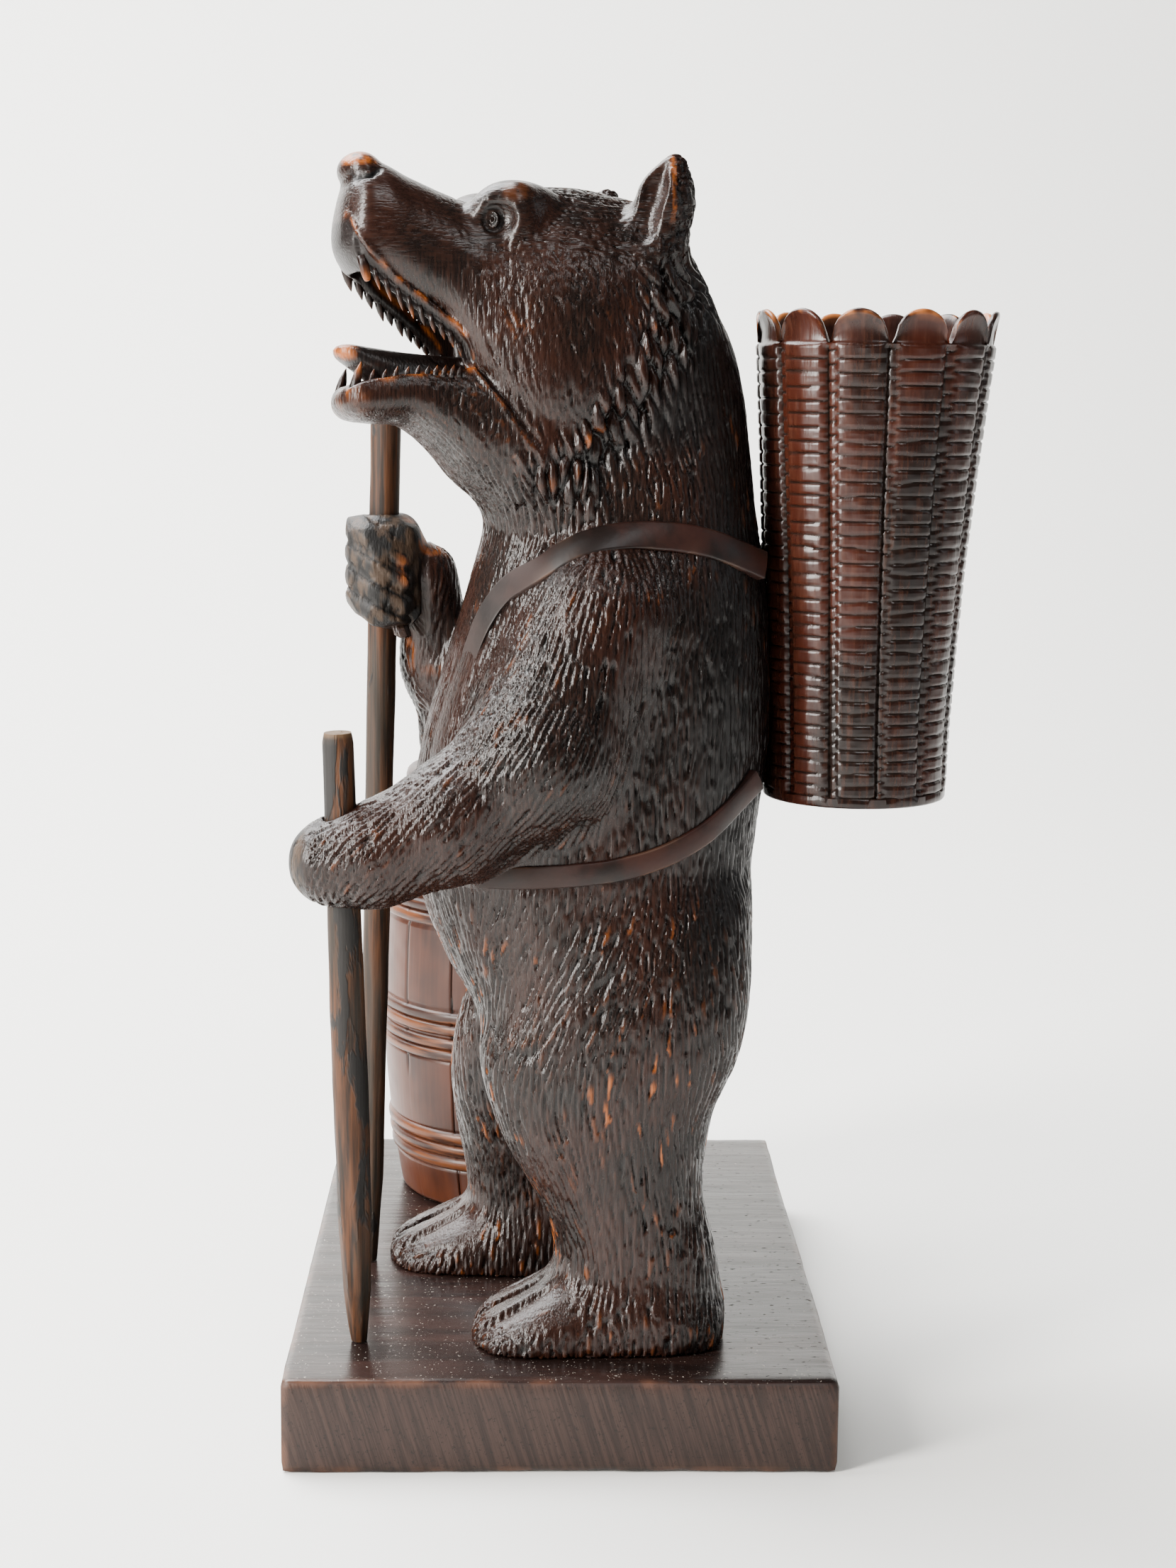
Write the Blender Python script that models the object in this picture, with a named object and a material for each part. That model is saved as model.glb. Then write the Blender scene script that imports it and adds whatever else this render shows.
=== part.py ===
"""Carved wooden bear with a pack basket for a bottle, two staffs and a barrel, on one plank.

Shapes are worked out in millimetres and scaled to metres where a mesh is made. Up is +Z, the bear looks
towards -Y, its left side is +X. The origin is the centre of the plinth's underside.
"""

import itertools
import math

import bmesh
import bpy
import numpy as np
from mathutils import Matrix, Vector

MM = 0.001
GAP = 0.3  # left between two pieces that touch

PLINTH_X = 301.0
PLINTH_Y = 210.0
PLINTH_TOP = 36.6
PLINTH_EDGE = 4.0

BEAR_X = 54.0  # the body's own middle plane
BEAR_TRIANGLES = 3420
FINE_CARE = 4e-3  # how much longer the thinning spares the head, the fist and the toes
NET_STEP = 2.4  # cell of the grid that the bear is sampled on

HEAD_PIVOT = (54.0, 25.0, 440.0)
HEAD_TURN = math.radians(18.0)  # towards the bear's left
HEAD_TILT = math.radians(6.0)  # left ear up

BASKET_LOW = (54.0, 116.2, 244.0)
BASKET_RIM = (54.0, 120.0, 421.0)
BASKET_LOW_RADIUS = 36.3
BASKET_RIM_RADIUS = 46.5
BASKET_WALL = 5.0
BASKET_FLOOR = 9.0
BASKET_PANELS = 12
BASKET_TAB = 12.6
TAB_MIDDLE = 0.55  # of a panel, from its groove
TAB_HALF = 0.44
BASKET_FIRST_PANEL = math.radians(-16.7)  # at the rim
BASKET_TWIST = math.radians(8.5)  # how far the panels have turned by the bottom

BARREL_X = -90.0
BARREL_Y = -19.0
BARREL_END_RADIUS = 52.0
BARREL_BELLY = 9.0  # how much wider the middle is
BARREL_WALL = 7.0
BARREL_LOW = PLINTH_TOP + GAP
BARREL_RIM = 224.0
BARREL_SHOULDER = 0.9  # where its top starts to draw in, as a share of its height
BARREL_HOOPS = ((0.115, 0.148, 0.18), (0.388, 0.417), (0.452, 0.482), (0.711, 0.743, 0.776))  # as shares too
HOOP_HALF = 2.8
HOOP_PROUD = 1.5
LID_TOP = BARREL_RIM + 8.5
BARREL_SIDES = 24

STAFF_SIDES = 12
STAFF_LEFT = ((110.6, -78.0, PLINTH_TOP + GAP), (117.0, -84.5, 276.6))
STAFF_LEFT_RADII = ((0.0, 3.2), (0.09, 5.8), (0.22, 7.0), (0.5, 6.9), (0.8, 6.3), (1.0, 5.9))
STAFF_RIGHT = ((21.5, -79.5, PLINTH_TOP + GAP), (26.0, -71.2, 404.0))
STAFF_RIGHT_RADII = ((0.0, 3.0), (0.1, 5.0), (0.4, 5.7), (0.8, 6.1), (1.0, 6.3))

TOOTH = 3.8
FANG = 6.5
EYE = 4.2
STRAP_WIDTH = 11.0  # over the shoulder
STRAP_LOW_WIDTH = 8.6  # below the arm
STRAP_PROUD = 1.6
STRAP_DEEP = 4.0
STRAP_REACH = 16.0  # how far its ends run on towards the basket
STRAP_LOW_LEVEL = 250.0  # its lower, narrower part is below this height


def smooth_min(a, b, reach):
    """The lesser of two fields, rounded where they come within reach of each other."""
    share = np.clip(0.5 + 0.5 * (b - a) / reach, 0.0, 1.0)
    return b + (a - b) * share - reach * share * (1.0 - share)


def smooth_max(a, b, reach):
    return -smooth_min(-a, -b, reach)


def curve(rows, column):
    """A smooth line through one column of rows, as a fine table for np.interp."""
    knots = np.array([row[0] for row in rows], float)
    values = np.array([row[column] for row in rows], float)
    slopes = np.gradient(values, knots)
    fine = np.linspace(knots[0], knots[-1], 160)
    index = np.clip(np.searchsorted(knots, fine) - 1, 0, len(knots) - 2)
    width = knots[index + 1] - knots[index]
    t = (fine - knots[index]) / width
    first, last = values[index], values[index + 1]
    bend = (
        (2 * t**3 - 3 * t**2 + 1) * first
        + (t**3 - 2 * t**2 + t) * width * slopes[index]
        + (3 * t**2 - 2 * t**3) * last
        + (t**3 - t**2) * width * slopes[index + 1]
    )
    return fine, bend


def loft(along, across, side, rows, power=(2.3, 2.3), ends=8.0):
    """Rows are (along, across low, across high, side centre, side half): a superellipse at each place.

    power holds its exponent below and above the middle: 2 is round, more is squarer.
    """
    low, high, middle, half = (np.interp(along, *curve(rows, i)) for i in (1, 2, 3, 4))
    reach = 0.5 * (high - low)
    height = (across - 0.5 * (high + low)) / reach
    power = np.where(height > 0.0, power[1], power[0])
    ratio = (np.abs(height) ** power + np.abs((side - middle) / half) ** power) ** (1.0 / power)
    wall = (ratio - 1.0) * np.minimum(reach, half)
    beyond = np.maximum(rows[0][0] - along, along - rows[-1][0])
    return smooth_max(wall, beyond, ends)


def capsule(p, start, end, first, last):
    """A round bar from start to end whose radius runs from first to last."""
    start, end = np.array(start, float), np.array(end, float)
    run = end - start
    from_start = [p[i] - start[i] for i in range(3)]
    t = sum(from_start[i] * run[i] for i in range(3)) / float(run @ run)
    t = np.clip(t, 0.0, 1.0)
    gap = sum((from_start[i] - t * run[i]) ** 2 for i in range(3))
    return np.sqrt(gap) - (first + (last - first) * t)


def limb(p, joints, reach):
    """Joints are (point, radius): the bars between them, blended."""
    bars = [capsule(p, a[0], b[0], a[1], b[1]) for a, b in zip(joints, joints[1:])]
    whole = bars[0]
    for bar in bars[1:]:
        whole = smooth_min(whole, bar, reach)
    return whole


def egg(p, centre, radii):
    """An ellipsoid with its axes along p's."""
    scaled = [(p[i] - centre[i]) / radii[i] for i in range(3)]
    length = np.sqrt(sum(s**2 for s in scaled)) + 1e-9
    slope = np.sqrt(sum((s / r) ** 2 for s, r in zip(scaled, radii))) + 1e-9
    return length * (length - 1.0) / slope


def head_axes():
    """Forward, left and up of the turned head, as rows."""
    forward = np.array([math.sin(HEAD_TURN), -math.cos(HEAD_TURN), 0.0])
    level = np.array([math.cos(HEAD_TURN), math.sin(HEAD_TURN), 0.0])
    rise = np.array([0.0, 0.0, 1.0])
    left = math.cos(HEAD_TILT) * level + math.sin(HEAD_TILT) * rise
    up = math.cos(HEAD_TILT) * rise - math.sin(HEAD_TILT) * level
    return np.array([forward, left, up])


def in_head(x, y, z):
    """Distances forward, left and up from the head's pivot."""
    away = (x - HEAD_PIVOT[0], y - HEAD_PIVOT[1], z - HEAD_PIVOT[2])
    return [sum(axis[i] * away[i] for i in range(3)) for axis in head_axes()]


def from_head(forward, left, up):
    return np.array(HEAD_PIVOT) + np.array([forward, left, up]) @ head_axes()


TORSO = (
    (140.0, -22.0, 68.0, BEAR_X, 54.0),
    (160.0, -34.0, 72.0, BEAR_X, 60.0),
    (180.0, -46.0, 74.0, BEAR_X, 63.0),
    (205.0, -56.0, 74.0, BEAR_X, 63.0),
    (235.0, -60.0, 77.5, BEAR_X, 62.0),
    (265.0, -56.0, 81.0, BEAR_X, 60.0),
    (300.0, -46.0, 81.0, BEAR_X, 58.0),
    (330.0, -37.0, 78.5, BEAR_X, 54.0),
    (352.0, -32.0, 75.0, BEAR_X, 49.0),
    (375.0, -34.0, 72.0, BEAR_X + 1, 45.0),
    (400.0, -34.0, 69.0, BEAR_X + 2, 43.0),
    (425.0, -28.0, 61.5, BEAR_X + 4, 40.0),
    (450.0, -16.0, 46.0, BEAR_X + 5, 35.0),
)
LEFT_LEG = (
    (28.0, -4.0, 62.0, 98.0, 29.0),
    (45.0, -4.0, 64.0, 97.5, 28.5),
    (60.0, -3.0, 63.0, 97.0, 27.5),
    (75.0, -3.0, 60.0, 96.0, 27.0),
    (92.0, -9.0, 56.0, 95.0, 27.5),
    (108.0, -19.0, 56.5, 93.0, 29.5),
    (125.0, -27.0, 59.5, 91.0, 32.0),
    (145.0, -32.0, 68.5, 89.0, 34.5),
    (165.0, -29.0, 73.0, 86.0, 36.0),
    (190.0, -18.0, 73.0, 82.0, 35.0),
    (215.0, -6.0, 72.0, 78.0, 30.0),
)
RIGHT_LEG = (
    (28.0, -37.0, 27.0, 12.0, 29.0),
    (45.0, -37.0, 29.0, 12.0, 28.0),
    (60.0, -38.0, 28.0, 12.5, 27.0),
    (78.0, -39.5, 29.0, 13.0, 26.5),
    (95.0, -42.5, 34.0, 14.0, 28.0),
    (112.0, -45.0, 42.0, 16.0, 31.0),
    (130.0, -45.0, 56.0, 18.0, 34.0),
    (152.0, -40.0, 70.0, 21.0, 36.0),
    (178.0, -28.0, 74.0, 25.0, 35.0),
    (210.0, -12.0, 72.0, 30.0, 30.0),
)
# Feet run along -Y from the heel: (distance, low, high, side centre, half width), the sole at PLINTH_TOP.
FOOT = (
    (0.0, -14.0, 14.0, 0.0, 22.0),
    (20.0, -30.0, 30.0, 0.0, 29.0),
    (45.0, -31.0, 31.0, 0.0, 30.5),
    (62.0, -25.0, 25.0, 0.0, 31.0),
    (78.0, -16.5, 16.5, 0.0, 29.5),
    (90.0, -10.0, 10.0, 0.0, 24.0),
    (97.0, -5.0, 5.0, 0.0, 14.0),
)
FEET = (((98.0, 62.0), 0.06), ((12.5, 25.0), -0.06))  # each heel, and how its toes swing out
TOE_GROOVES = (-15.0, -1.0, 13.0)
FINGER_GROOVES = (345.0, 335.5, 326.0)

FIST = (
    (312.0, -78.0, -62.0, 24.0, 10.5),
    (320.0, -84.5, -58.5, 24.5, 14.0),
    (333.0, -86.5, -57.0, 25.0, 15.0),
    (345.0, -84.5, -57.0, 25.0, 14.0),
    (353.0, -80.0, -62.0, 25.0, 10.0),
)

RUFF_SHARES = (0.0, 0.2, 0.36, 0.5, 0.64, 0.8, 1.0)
RUFF = ((1.0, 1.0, 8.0, 14.5, 22.0, 30.0, 46.0), (4.0, -15.0, -27.0, -38.0, -46.0, -60.0, -71.0))
RUFF_LOCKS = 9
RUFF_ROWS = 2
LOCK_RADII = (1.6, 3.8)

# Head rows: (forward, low, high, left centre, half width), from the pivot along the head's own axes.
SKULL = (
    (-21.0, -40.0, 12.0, 0.0, 30.0),
    (-6.0, -56.0, 29.5, 0.0, 39.0),
    (14.0, -62.0, 36.5, 0.0, 42.0),
    (34.0, -67.0, 38.5, 0.0, 41.5),
    (50.0, -63.0, 36.5, 0.0, 37.0),
    (60.0, -53.0, 33.0, 0.0, 32.0),
    (68.0, -38.0, 32.0, 0.0, 28.0),
    (77.0, -18.0, 35.0, 0.0, 24.5),
    (90.0, -6.0, 40.5, 0.0, 22.0),
    (102.0, 2.0, 45.5, 0.0, 20.5),
    (110.0, 5.0, 43.0, 0.0, 18.0),
    (115.5, 11.0, 33.0, 0.0, 12.0),
)
JAW = (
    (30.0, -98.0, -34.0, 0.0, 35.0),
    (48.0, -91.0, -32.0, 0.0, 32.5),
    (62.0, -80.0, -30.0, 0.0, 28.5),
    (72.0, -72.0, -29.5, 0.0, 25.5),
    (81.0, -61.0, -30.5, 0.0, 23.0),
    (92.0, -52.0, -32.0, 0.0, 21.0),
    (106.0, -50.5, -34.0, 0.0, 18.5),
    (115.0, -49.0, -36.5, 0.0, 15.0),
    (120.0, -46.0, -39.5, 0.0, 8.0),
)
PALATE = (
    (66.0, -34.0, -8.0, 0.0, 16.0),
    (78.0, -24.0, -5.0, 0.0, 15.5),
    (90.0, -12.0, 4.0, 0.0, 14.0),
    (103.0, -6.0, 11.0, 0.0, 11.5),
    (110.0, 0.0, 10.0, 0.0, 7.0),
)
TROUGH = (
    (64.0, -39.0, -24.0, 0.0, 20.0),
    (80.0, -41.0, -26.0, 0.0, 17.0),
    (95.0, -42.0, -28.0, 0.0, 15.0),
    (108.0, -43.0, -30.0, 0.0, 12.5),
    (115.0, -43.0, -32.0, 0.0, 8.0),
)
TONGUE = (
    (60.0, -48.0, -26.0, 0.0, 14.0),
    (78.0, -48.0, -25.5, 0.0, 13.0),
    (95.0, -45.0, -24.0, 0.0, 11.5),
    (106.0, -35.0, -22.5, 0.0, 10.0),
    (114.0, -29.0, -21.5, 0.0, 8.0),
    (119.0, -26.0, -22.0, 0.0, 4.0),
)


def ear_field(head, side):
    """One ear: a leaf standing on the skull, hollowed on its front and outer face."""
    p = [head[0], side * head[1], head[2]]
    leaf = limb(p, (((1.0, 30.0, 14.0), 13.0), ((-2.0, 35.0, 31.0), 9.0), ((-4.5, 37.5, 41.5), 4.6)), 9.0)
    hollow = limb(p, (((13.0, 41.0, 19.0), 7.0), ((6.0, 41.0, 33.0), 4.0)), 5.0)
    return smooth_max(leaf, -hollow, 3.0)


def head_fields(x, y, z):
    """The head without its tongue, and the tongue."""
    head = in_head(x, y, z)
    forward, left, up = head
    skull = loft(forward, up, left, SKULL, (3.2, 2.2), 6.0)
    brows = [egg(head, (53.5, side * 20.0, 28.0 - side), (15.5, 10.5, 10.5)) for side in (-1, 1)]
    skull = smooth_min(skull, smooth_min(brows[0], brows[1], 2.0), 7.0)
    nose = egg(head, (107.0, 0.0, 42.5), (8.0, 12.5, 6.8))
    skull = smooth_min(skull, nose, 3.0)
    lip = egg(head, (106.5, 0.0, 17.0), (9.5, 17.0, 13.0))
    skull = smooth_min(skull, lip, 5.0)
    for side in (-1, 1):
        nostril = capsule(head, (116.0, side * 7.0, 40.5), (108.0, side * 13.5, 40.0), 2.2, 1.6)
        skull = smooth_max(skull, -nostril, 1.2)
        socket = egg(head, (63.5, side * 30.0, 22.0), (7.5, 6.0, 6.5))
        skull = smooth_max(skull, -socket, 4.0)
        skull = smooth_min(skull, ear_field(head, side), 7.0)
    skull = smooth_max(skull, -loft(forward, up, left, PALATE, (2.6, 2.6), 3.0), 2.0)
    jaw = loft(forward, up, left, JAW, (2.3, 3.6), 5.0)
    jaw = smooth_max(jaw, -loft(forward, up, left, TROUGH, (2.8, 2.8), 3.0), 2.0)
    tongue = loft(forward, up, left, TONGUE, (2.4, 2.4), 3.0)
    return smooth_min(skull, jaw, 2.0), tongue


def head_field(x, y, z):
    head, tongue = head_fields(x, y, z)
    return smooth_min(head, tongue, 1.5)


def bare_head_field(x, y, z):
    return head_fields(x, y, z)[0]


def foot_field(p, heel, spread):
    """A foot from its heel forwards, its toes turned a little outwards."""
    x, y, z = p
    forward = heel[1] - y
    side = (x - heel[0]) - spread * np.clip(forward - 45.0, 0.0, 60.0)
    return loft(forward, z - PLINTH_TOP, side, FOOT, (2.3, 2.3), 6.0)


def fist_field(p):
    """The raised right fist: a block with four slanting fingers on its near side and front."""
    fist = loft(p[2], p[1], p[0], FIST, (3.0, 3.0), 5.0)
    for i in range(4):
        drop = 9.4 * i
        finger = limb(
            p,
            (((22.0, -83.5, 348.0 - drop), 5.0), ((34.0, -82.5, 347.0 - drop), 5.2),
             ((39.5, -74.0, 342.0 - drop), 5.2), ((38.0, -64.0, 336.0 - drop), 4.6)),
            2.0,
        )
        fist = smooth_min(fist, finger, 1.6)
    return fist


def trunk_field(x, y, z):
    body = loft(z, y, x, TORSO, (2.3, 2.3), 14.0)
    legs = [loft(z, y, x, rows, (2.4, 2.4), 14.0) for rows in (LEFT_LEG, RIGHT_LEG)]
    return smooth_min(body, smooth_min(legs[0], legs[1], 6.0), 9.0)


def bear_field(x, y, z):
    """Below zero inside the bear, before holes, straps and teeth."""
    p = (x, y, z)
    body = smooth_min(trunk_field(x, y, z), head_field(x, y, z), 9.0)
    left_arm = limb(
        p,
        (((93.0, 14.0, 318.0), 31.0), ((107.0, -8.0, 266.0), 28.0), ((114.0, -44.0, 241.5), 20.8),
         ((116.5, -70.0, 230.5), 17.4), ((116.0, -86.0, 227.5), 17.2)),
        12.0,
    )
    right_arm = limb(
        p,
        (((15.0, 14.0, 318.0), 31.0), ((4.0, -10.0, 272.0), 26.0), ((2.0, -38.0, 256.0), 18.0),
         ((14.0, -50.0, 290.0), 14.0), ((24.0, -56.0, 328.0), 13.0)),
        12.0,
    )
    body = smooth_min(body, left_arm, 9.0)
    body = smooth_min(body, right_arm, 9.0)
    body = smooth_min(body, fist_field(p), 5.0)
    for heel, spread in FEET:
        body = smooth_min(body, foot_field(p, heel, spread), 7.0)
    return np.maximum(body, PLINTH_TOP - 5.0 - z)


def unpinched(value):
    """The samples with every place filled where the skin would touch itself along an edge or at a point."""
    for _ in range(8):  # each filling can make another
        filled = np.zeros(value.shape, bool)
        for axis in range(3):
            u, v = [i for i in range(3) if i != axis]

            def corner(i, j):
                cut = [slice(None)] * 3
                cut[u] = slice(1, None) if i else slice(None, -1)
                cut[v] = slice(1, None) if j else slice(None, -1)
                return tuple(cut)

            signs = [[value[corner(i, j)] < 0.0 for j in (0, 1)] for i in (0, 1)]
            matched = (signs[0][0] == signs[1][1]) & (signs[0][1] == signs[1][0])
            crossed = matched & (signs[0][0] != signs[0][1])
            for i, j in itertools.product((0, 1), repeat=2):
                filled[corner(i, j)] |= crossed
        far, near = slice(1, None), slice(None, -1)
        ends = [tuple(far if i else near for i in c) for c in itertools.product((0, 1), repeat=3)]
        inside = [value[e] < 0.0 for e in ends]
        count = sum(i.astype(int) for i in inside)
        for n in range(4):
            pair = inside[n] == inside[7 - n]
            lone = pair & ((count == 2) & inside[n] | (count == 6) & ~inside[n])
            for e in ends:
                filled[e] |= lone
        filled &= value >= 0.0
        if not filled.any():
            break
        value = np.where(filled, -0.05, value)
    return value


def lock_bars():
    """The ruff: tapering locks from the cheek back and down, (start, end) on the skin for both sides."""
    bars = []
    for side in (-1, 1):
        for row in range(RUFF_ROWS):
            for i in range(RUFF_LOCKS):
                t = (i + 0.5 * (row % 2)) / RUFF_LOCKS
                forward, up = (np.interp(t, RUFF_SHARES, RUFF[k]) for k in (0, 1))
                back = np.interp(t, (0.0, 1.0), (11.0, 2.5))
                forward, up = forward + row * (4.0 + 0.5 * back), up + row * 9.0
                ends = []
                for ahead, rise in ((back, 15.0), (0.0, 0.0)):
                    start = from_head(forward + ahead, side * 80.0, up + rise)
                    ends.append(skin_at(start, -side * head_axes()[1], bear_field)[0])
                bars.append(ends)
    return bars


def carved_field(bars):
    """bear_field with the locks laid on it."""

    def field(x, y, z):
        body = bear_field(x, y, z)
        for start, end in bars:
            body = smooth_min(body, capsule((x, y, z), start, end, LOCK_RADII[0], LOCK_RADII[1]), 1.6)
        return body

    return field


def net_of(field, low, high, step):
    """Quads on the zero level of field: one point in each cell of the grid that the level crosses."""
    ticks = [np.arange(a, b + step, step) for a, b in zip(low, high)]
    value = unpinched(field(*np.meshgrid(*ticks, indexing="ij")))
    inside = value < 0.0
    shape = tuple(n - 1 for n in value.shape)
    total = np.zeros(shape + (3,))
    count = np.zeros(shape)

    def shifted(array, start):
        return array[tuple(slice(s, s + n) for s, n in zip(start, shape))]

    for axis in range(3):
        for near in itertools.product((0, 1), repeat=2):
            start = list(near)
            start.insert(axis, 0)
            end = list(start)
            end[axis] = 1
            a, b = shifted(value, start), shifted(value, end)
            crossed = (a < 0.0) != (b < 0.0)
            share = np.where(crossed, a / np.where(crossed, a - b, 1.0), 0.0)
            for i in range(3):
                total[..., i] += crossed * start[i] + (share if i == axis else 0.0)
            count += crossed
    active = count > 0
    index = np.full(shape, -1)
    index[active] = np.arange(active.sum())
    points = np.array(low) + (np.argwhere(active) + total[active] / count[active][:, None]) * step
    quads = []
    for axis in range(3):
        u, v = (axis + 1) % 3, (axis + 2) % 3
        first = tuple(slice(None, -1) if i == axis else slice(1, -1) for i in range(3))
        last = tuple(slice(1, None) if i == axis else slice(1, -1) for i in range(3))
        for flips in (False, True):
            change = (inside[first] & ~inside[last]) if not flips else (~inside[first] & inside[last])
            at = np.argwhere(change)
            at[:, u] += 1
            at[:, v] += 1
            back_u, back_v = np.zeros(3, int), np.zeros(3, int)
            back_u[u], back_v[v] = 1, 1
            ring = [at, at - back_u, at - back_u - back_v, at - back_v]
            if flips:
                ring.reverse()
            quads.append(np.stack([index[tuple(corner.T)] for corner in ring], 1))
    return points, np.concatenate(quads)


def material_of(name, colour, roughness):
    material = bpy.data.materials.new(name)
    material.use_nodes = True
    shader = material.node_tree.nodes["Principled BSDF"]
    shader.inputs["Base Color"].default_value = (*colour, 1.0)
    shader.inputs["Roughness"].default_value = roughness
    material.diffuse_color = (*colour, 1.0)
    return material


def mesh_object(name, points, faces, material=None, smooth=False):
    """An object from millimetre points."""
    mesh = bpy.data.meshes.new(name)
    mesh.from_pydata((np.asarray(points, float) * MM).tolist(), [], [tuple(map(int, f)) for f in faces])
    mesh.validate()
    mesh.update()
    if smooth:
        mesh.shade_smooth()
    if material:
        mesh.materials.append(material)
    made = bpy.data.objects.new(name, mesh)
    bpy.context.scene.collection.objects.link(made)
    return made


def tube(rings, closed_path=False):
    """Points and faces of a closed skin over rings of equal length, capped at both ends."""
    rings = [np.asarray(ring, float) for ring in rings]
    n = len(rings[0])
    faces = []
    for r in range(len(rings) - 1 + closed_path):
        a, b = r * n, ((r + 1) % len(rings)) * n
        faces += [(a + i, a + (i + 1) % n, b + (i + 1) % n, b + i) for i in range(n)]
    if not closed_path:
        faces.append(tuple(reversed(range(n))))
        faces.append(tuple(range((len(rings) - 1) * n, len(rings) * n)))
    return np.concatenate(rings), faces


def outward(made):
    """Turns a closed mesh's faces to look out."""
    sheet = bmesh.new()
    sheet.from_mesh(made.data)
    bmesh.ops.recalc_face_normals(sheet, faces=sheet.faces)
    sheet.to_mesh(made.data)
    sheet.free()
    return made


def cutter(made):
    made.hide_render = True
    made.display_type = "WIRE"
    return made


def joined(name, parts):
    """One mesh of several closed skins, each (points, faces)."""
    points, faces, count = [], [], 0
    for part_points, part_faces in parts:
        points.append(np.asarray(part_points, float))
        faces += [tuple(i + count for i in face) for face in part_faces]
        count += len(part_points)
    return outward(mesh_object(name, np.concatenate(points), faces))


def boolean(target, tool, operation, crossing=False):
    """crossing: parts of the tool run into each other."""
    step = target.modifiers.new(operation.title(), "BOOLEAN")
    step.operation = operation
    step.solver = "EXACT"
    step.use_self = crossing
    step.object = tool
    return step


def frame_along(run):
    """Two directions square to run."""
    run = np.asarray(run, float) / np.linalg.norm(run)
    side = np.cross(run, (0.0, 1.0, 0.0))
    side /= np.linalg.norm(side)
    return side, np.cross(run, side)


def bar_rings(start, end, radii, sides, grow=0.0):
    """Rings of a straight tapering bar. Radii are (share of the length, radius)."""
    start, end = np.array(start, float), np.array(end, float)
    u, v = frame_along(end - start)
    rings = []
    for share, radius in radii:
        turn = [2.0 * math.pi * i / sides for i in range(sides)]
        centre = start + (end - start) * share
        rings.append([centre + (radius + grow) * (math.cos(a) * u + math.sin(a) * v) for a in turn])
    return rings


def staff(name, ends, radii, material):
    points, faces = tube(bar_rings(ends[0], ends[1], radii, STAFF_SIDES))
    made = outward(mesh_object(name, points, faces, material, smooth=True))
    made.data.set_sharp_from_angle(angle=math.radians(40.0))
    return made


def basket_share(z):
    """How far up the basket z is."""
    return (z - BASKET_LOW[2]) / (BASKET_RIM[2] - BASKET_LOW[2])


def flare(z):
    """How far its side has swung out by z: little at first, more towards the rim."""
    return max(0.0, basket_share(z)) ** 1.6


def basket_centre(z):
    low, rim = np.array(BASKET_LOW), np.array(BASKET_RIM)
    return np.array([*(low + flare(z) * (rim - low))[:2], z])


def basket_radius(z):
    return BASKET_LOW_RADIUS + flare(z) * (BASKET_RIM_RADIUS - BASKET_LOW_RADIUS)


def basket_object(material):
    """A tapered tub: upright panels with a set-back strip beside each, and a round tab over each panel."""
    marks = (0.0, 0.06, 0.2, 0.41, 0.69, 0.9)
    setbacks = (2.2, 1.2, 0.2, -0.2, -0.2, 0.2)

    def ring(z, offset, relief, tab=0.0):
        points = []
        for panel in range(BASKET_PANELS):
            for mark, setback in zip(marks, setbacks):
                across = (mark - TAB_MIDDLE) / TAB_HALF
                height = z + tab * math.sqrt(max(0.0, 1.0 - across * across)) ** 0.8
                reach = basket_radius(height) + offset - relief * setback
                angle = BASKET_FIRST_PANEL + (panel - 0.5 + mark) * 2.0 * math.pi / BASKET_PANELS
                angle += BASKET_TWIST * (1.0 - basket_share(height))
                spoke = np.array([math.cos(angle), math.sin(angle), 0.0])
                points.append(basket_centre(height) + reach * spoke)
        return points

    low, rim = BASKET_LOW[2], BASKET_RIM[2]
    rings = [
        ring(low, -0.8, 0.0),
        ring(low + 4.0, 0.0, 0.0),
        ring(low + 4.4, 0.0, 1.0),
        ring(0.45 * low + 0.55 * rim, 0.0, 1.0),
        ring(rim - 0.6, 0.0, 1.0),
        ring(rim, -1.0, 0.3),
        ring(rim + 0.6, -1.0, 0.0, BASKET_TAB - 1.0),
        ring(rim + 0.6, -3.2, 0.0, BASKET_TAB),
        ring(rim - 2.0, -BASKET_WALL, 0.0),
        ring(low + BASKET_FLOOR, -BASKET_WALL, 0.0),
    ]
    points, faces = tube(rings)
    made = outward(mesh_object("basket", points, faces, material, smooth=True))
    made.data.set_sharp_from_angle(angle=math.radians(28.0))
    return made


def barrel_height(share):
    return BARREL_LOW + share * (BARREL_RIM - BARREL_LOW)


def barrel_radius(z):
    half = 0.5 * (BARREL_RIM - BARREL_LOW)
    share = (z - BARREL_LOW - half) / half
    return BARREL_END_RADIUS + BARREL_BELLY * (1.0 - share * share)


def turned(name, profile, material, steps):
    """A closed profile of (radius, height) spun round the barrel's axis."""
    turns = [2.0 * math.pi * i / steps for i in range(steps)]
    rings = [
        [(BARREL_X + r * math.cos(a), BARREL_Y + r * math.sin(a), z) for a in turns] for r, z in profile
    ]
    points, faces = tube(rings)
    made = outward(mesh_object(name, points, faces, material, smooth=True))
    made.data.set_sharp_from_angle(angle=math.radians(32.0))
    return made


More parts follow.
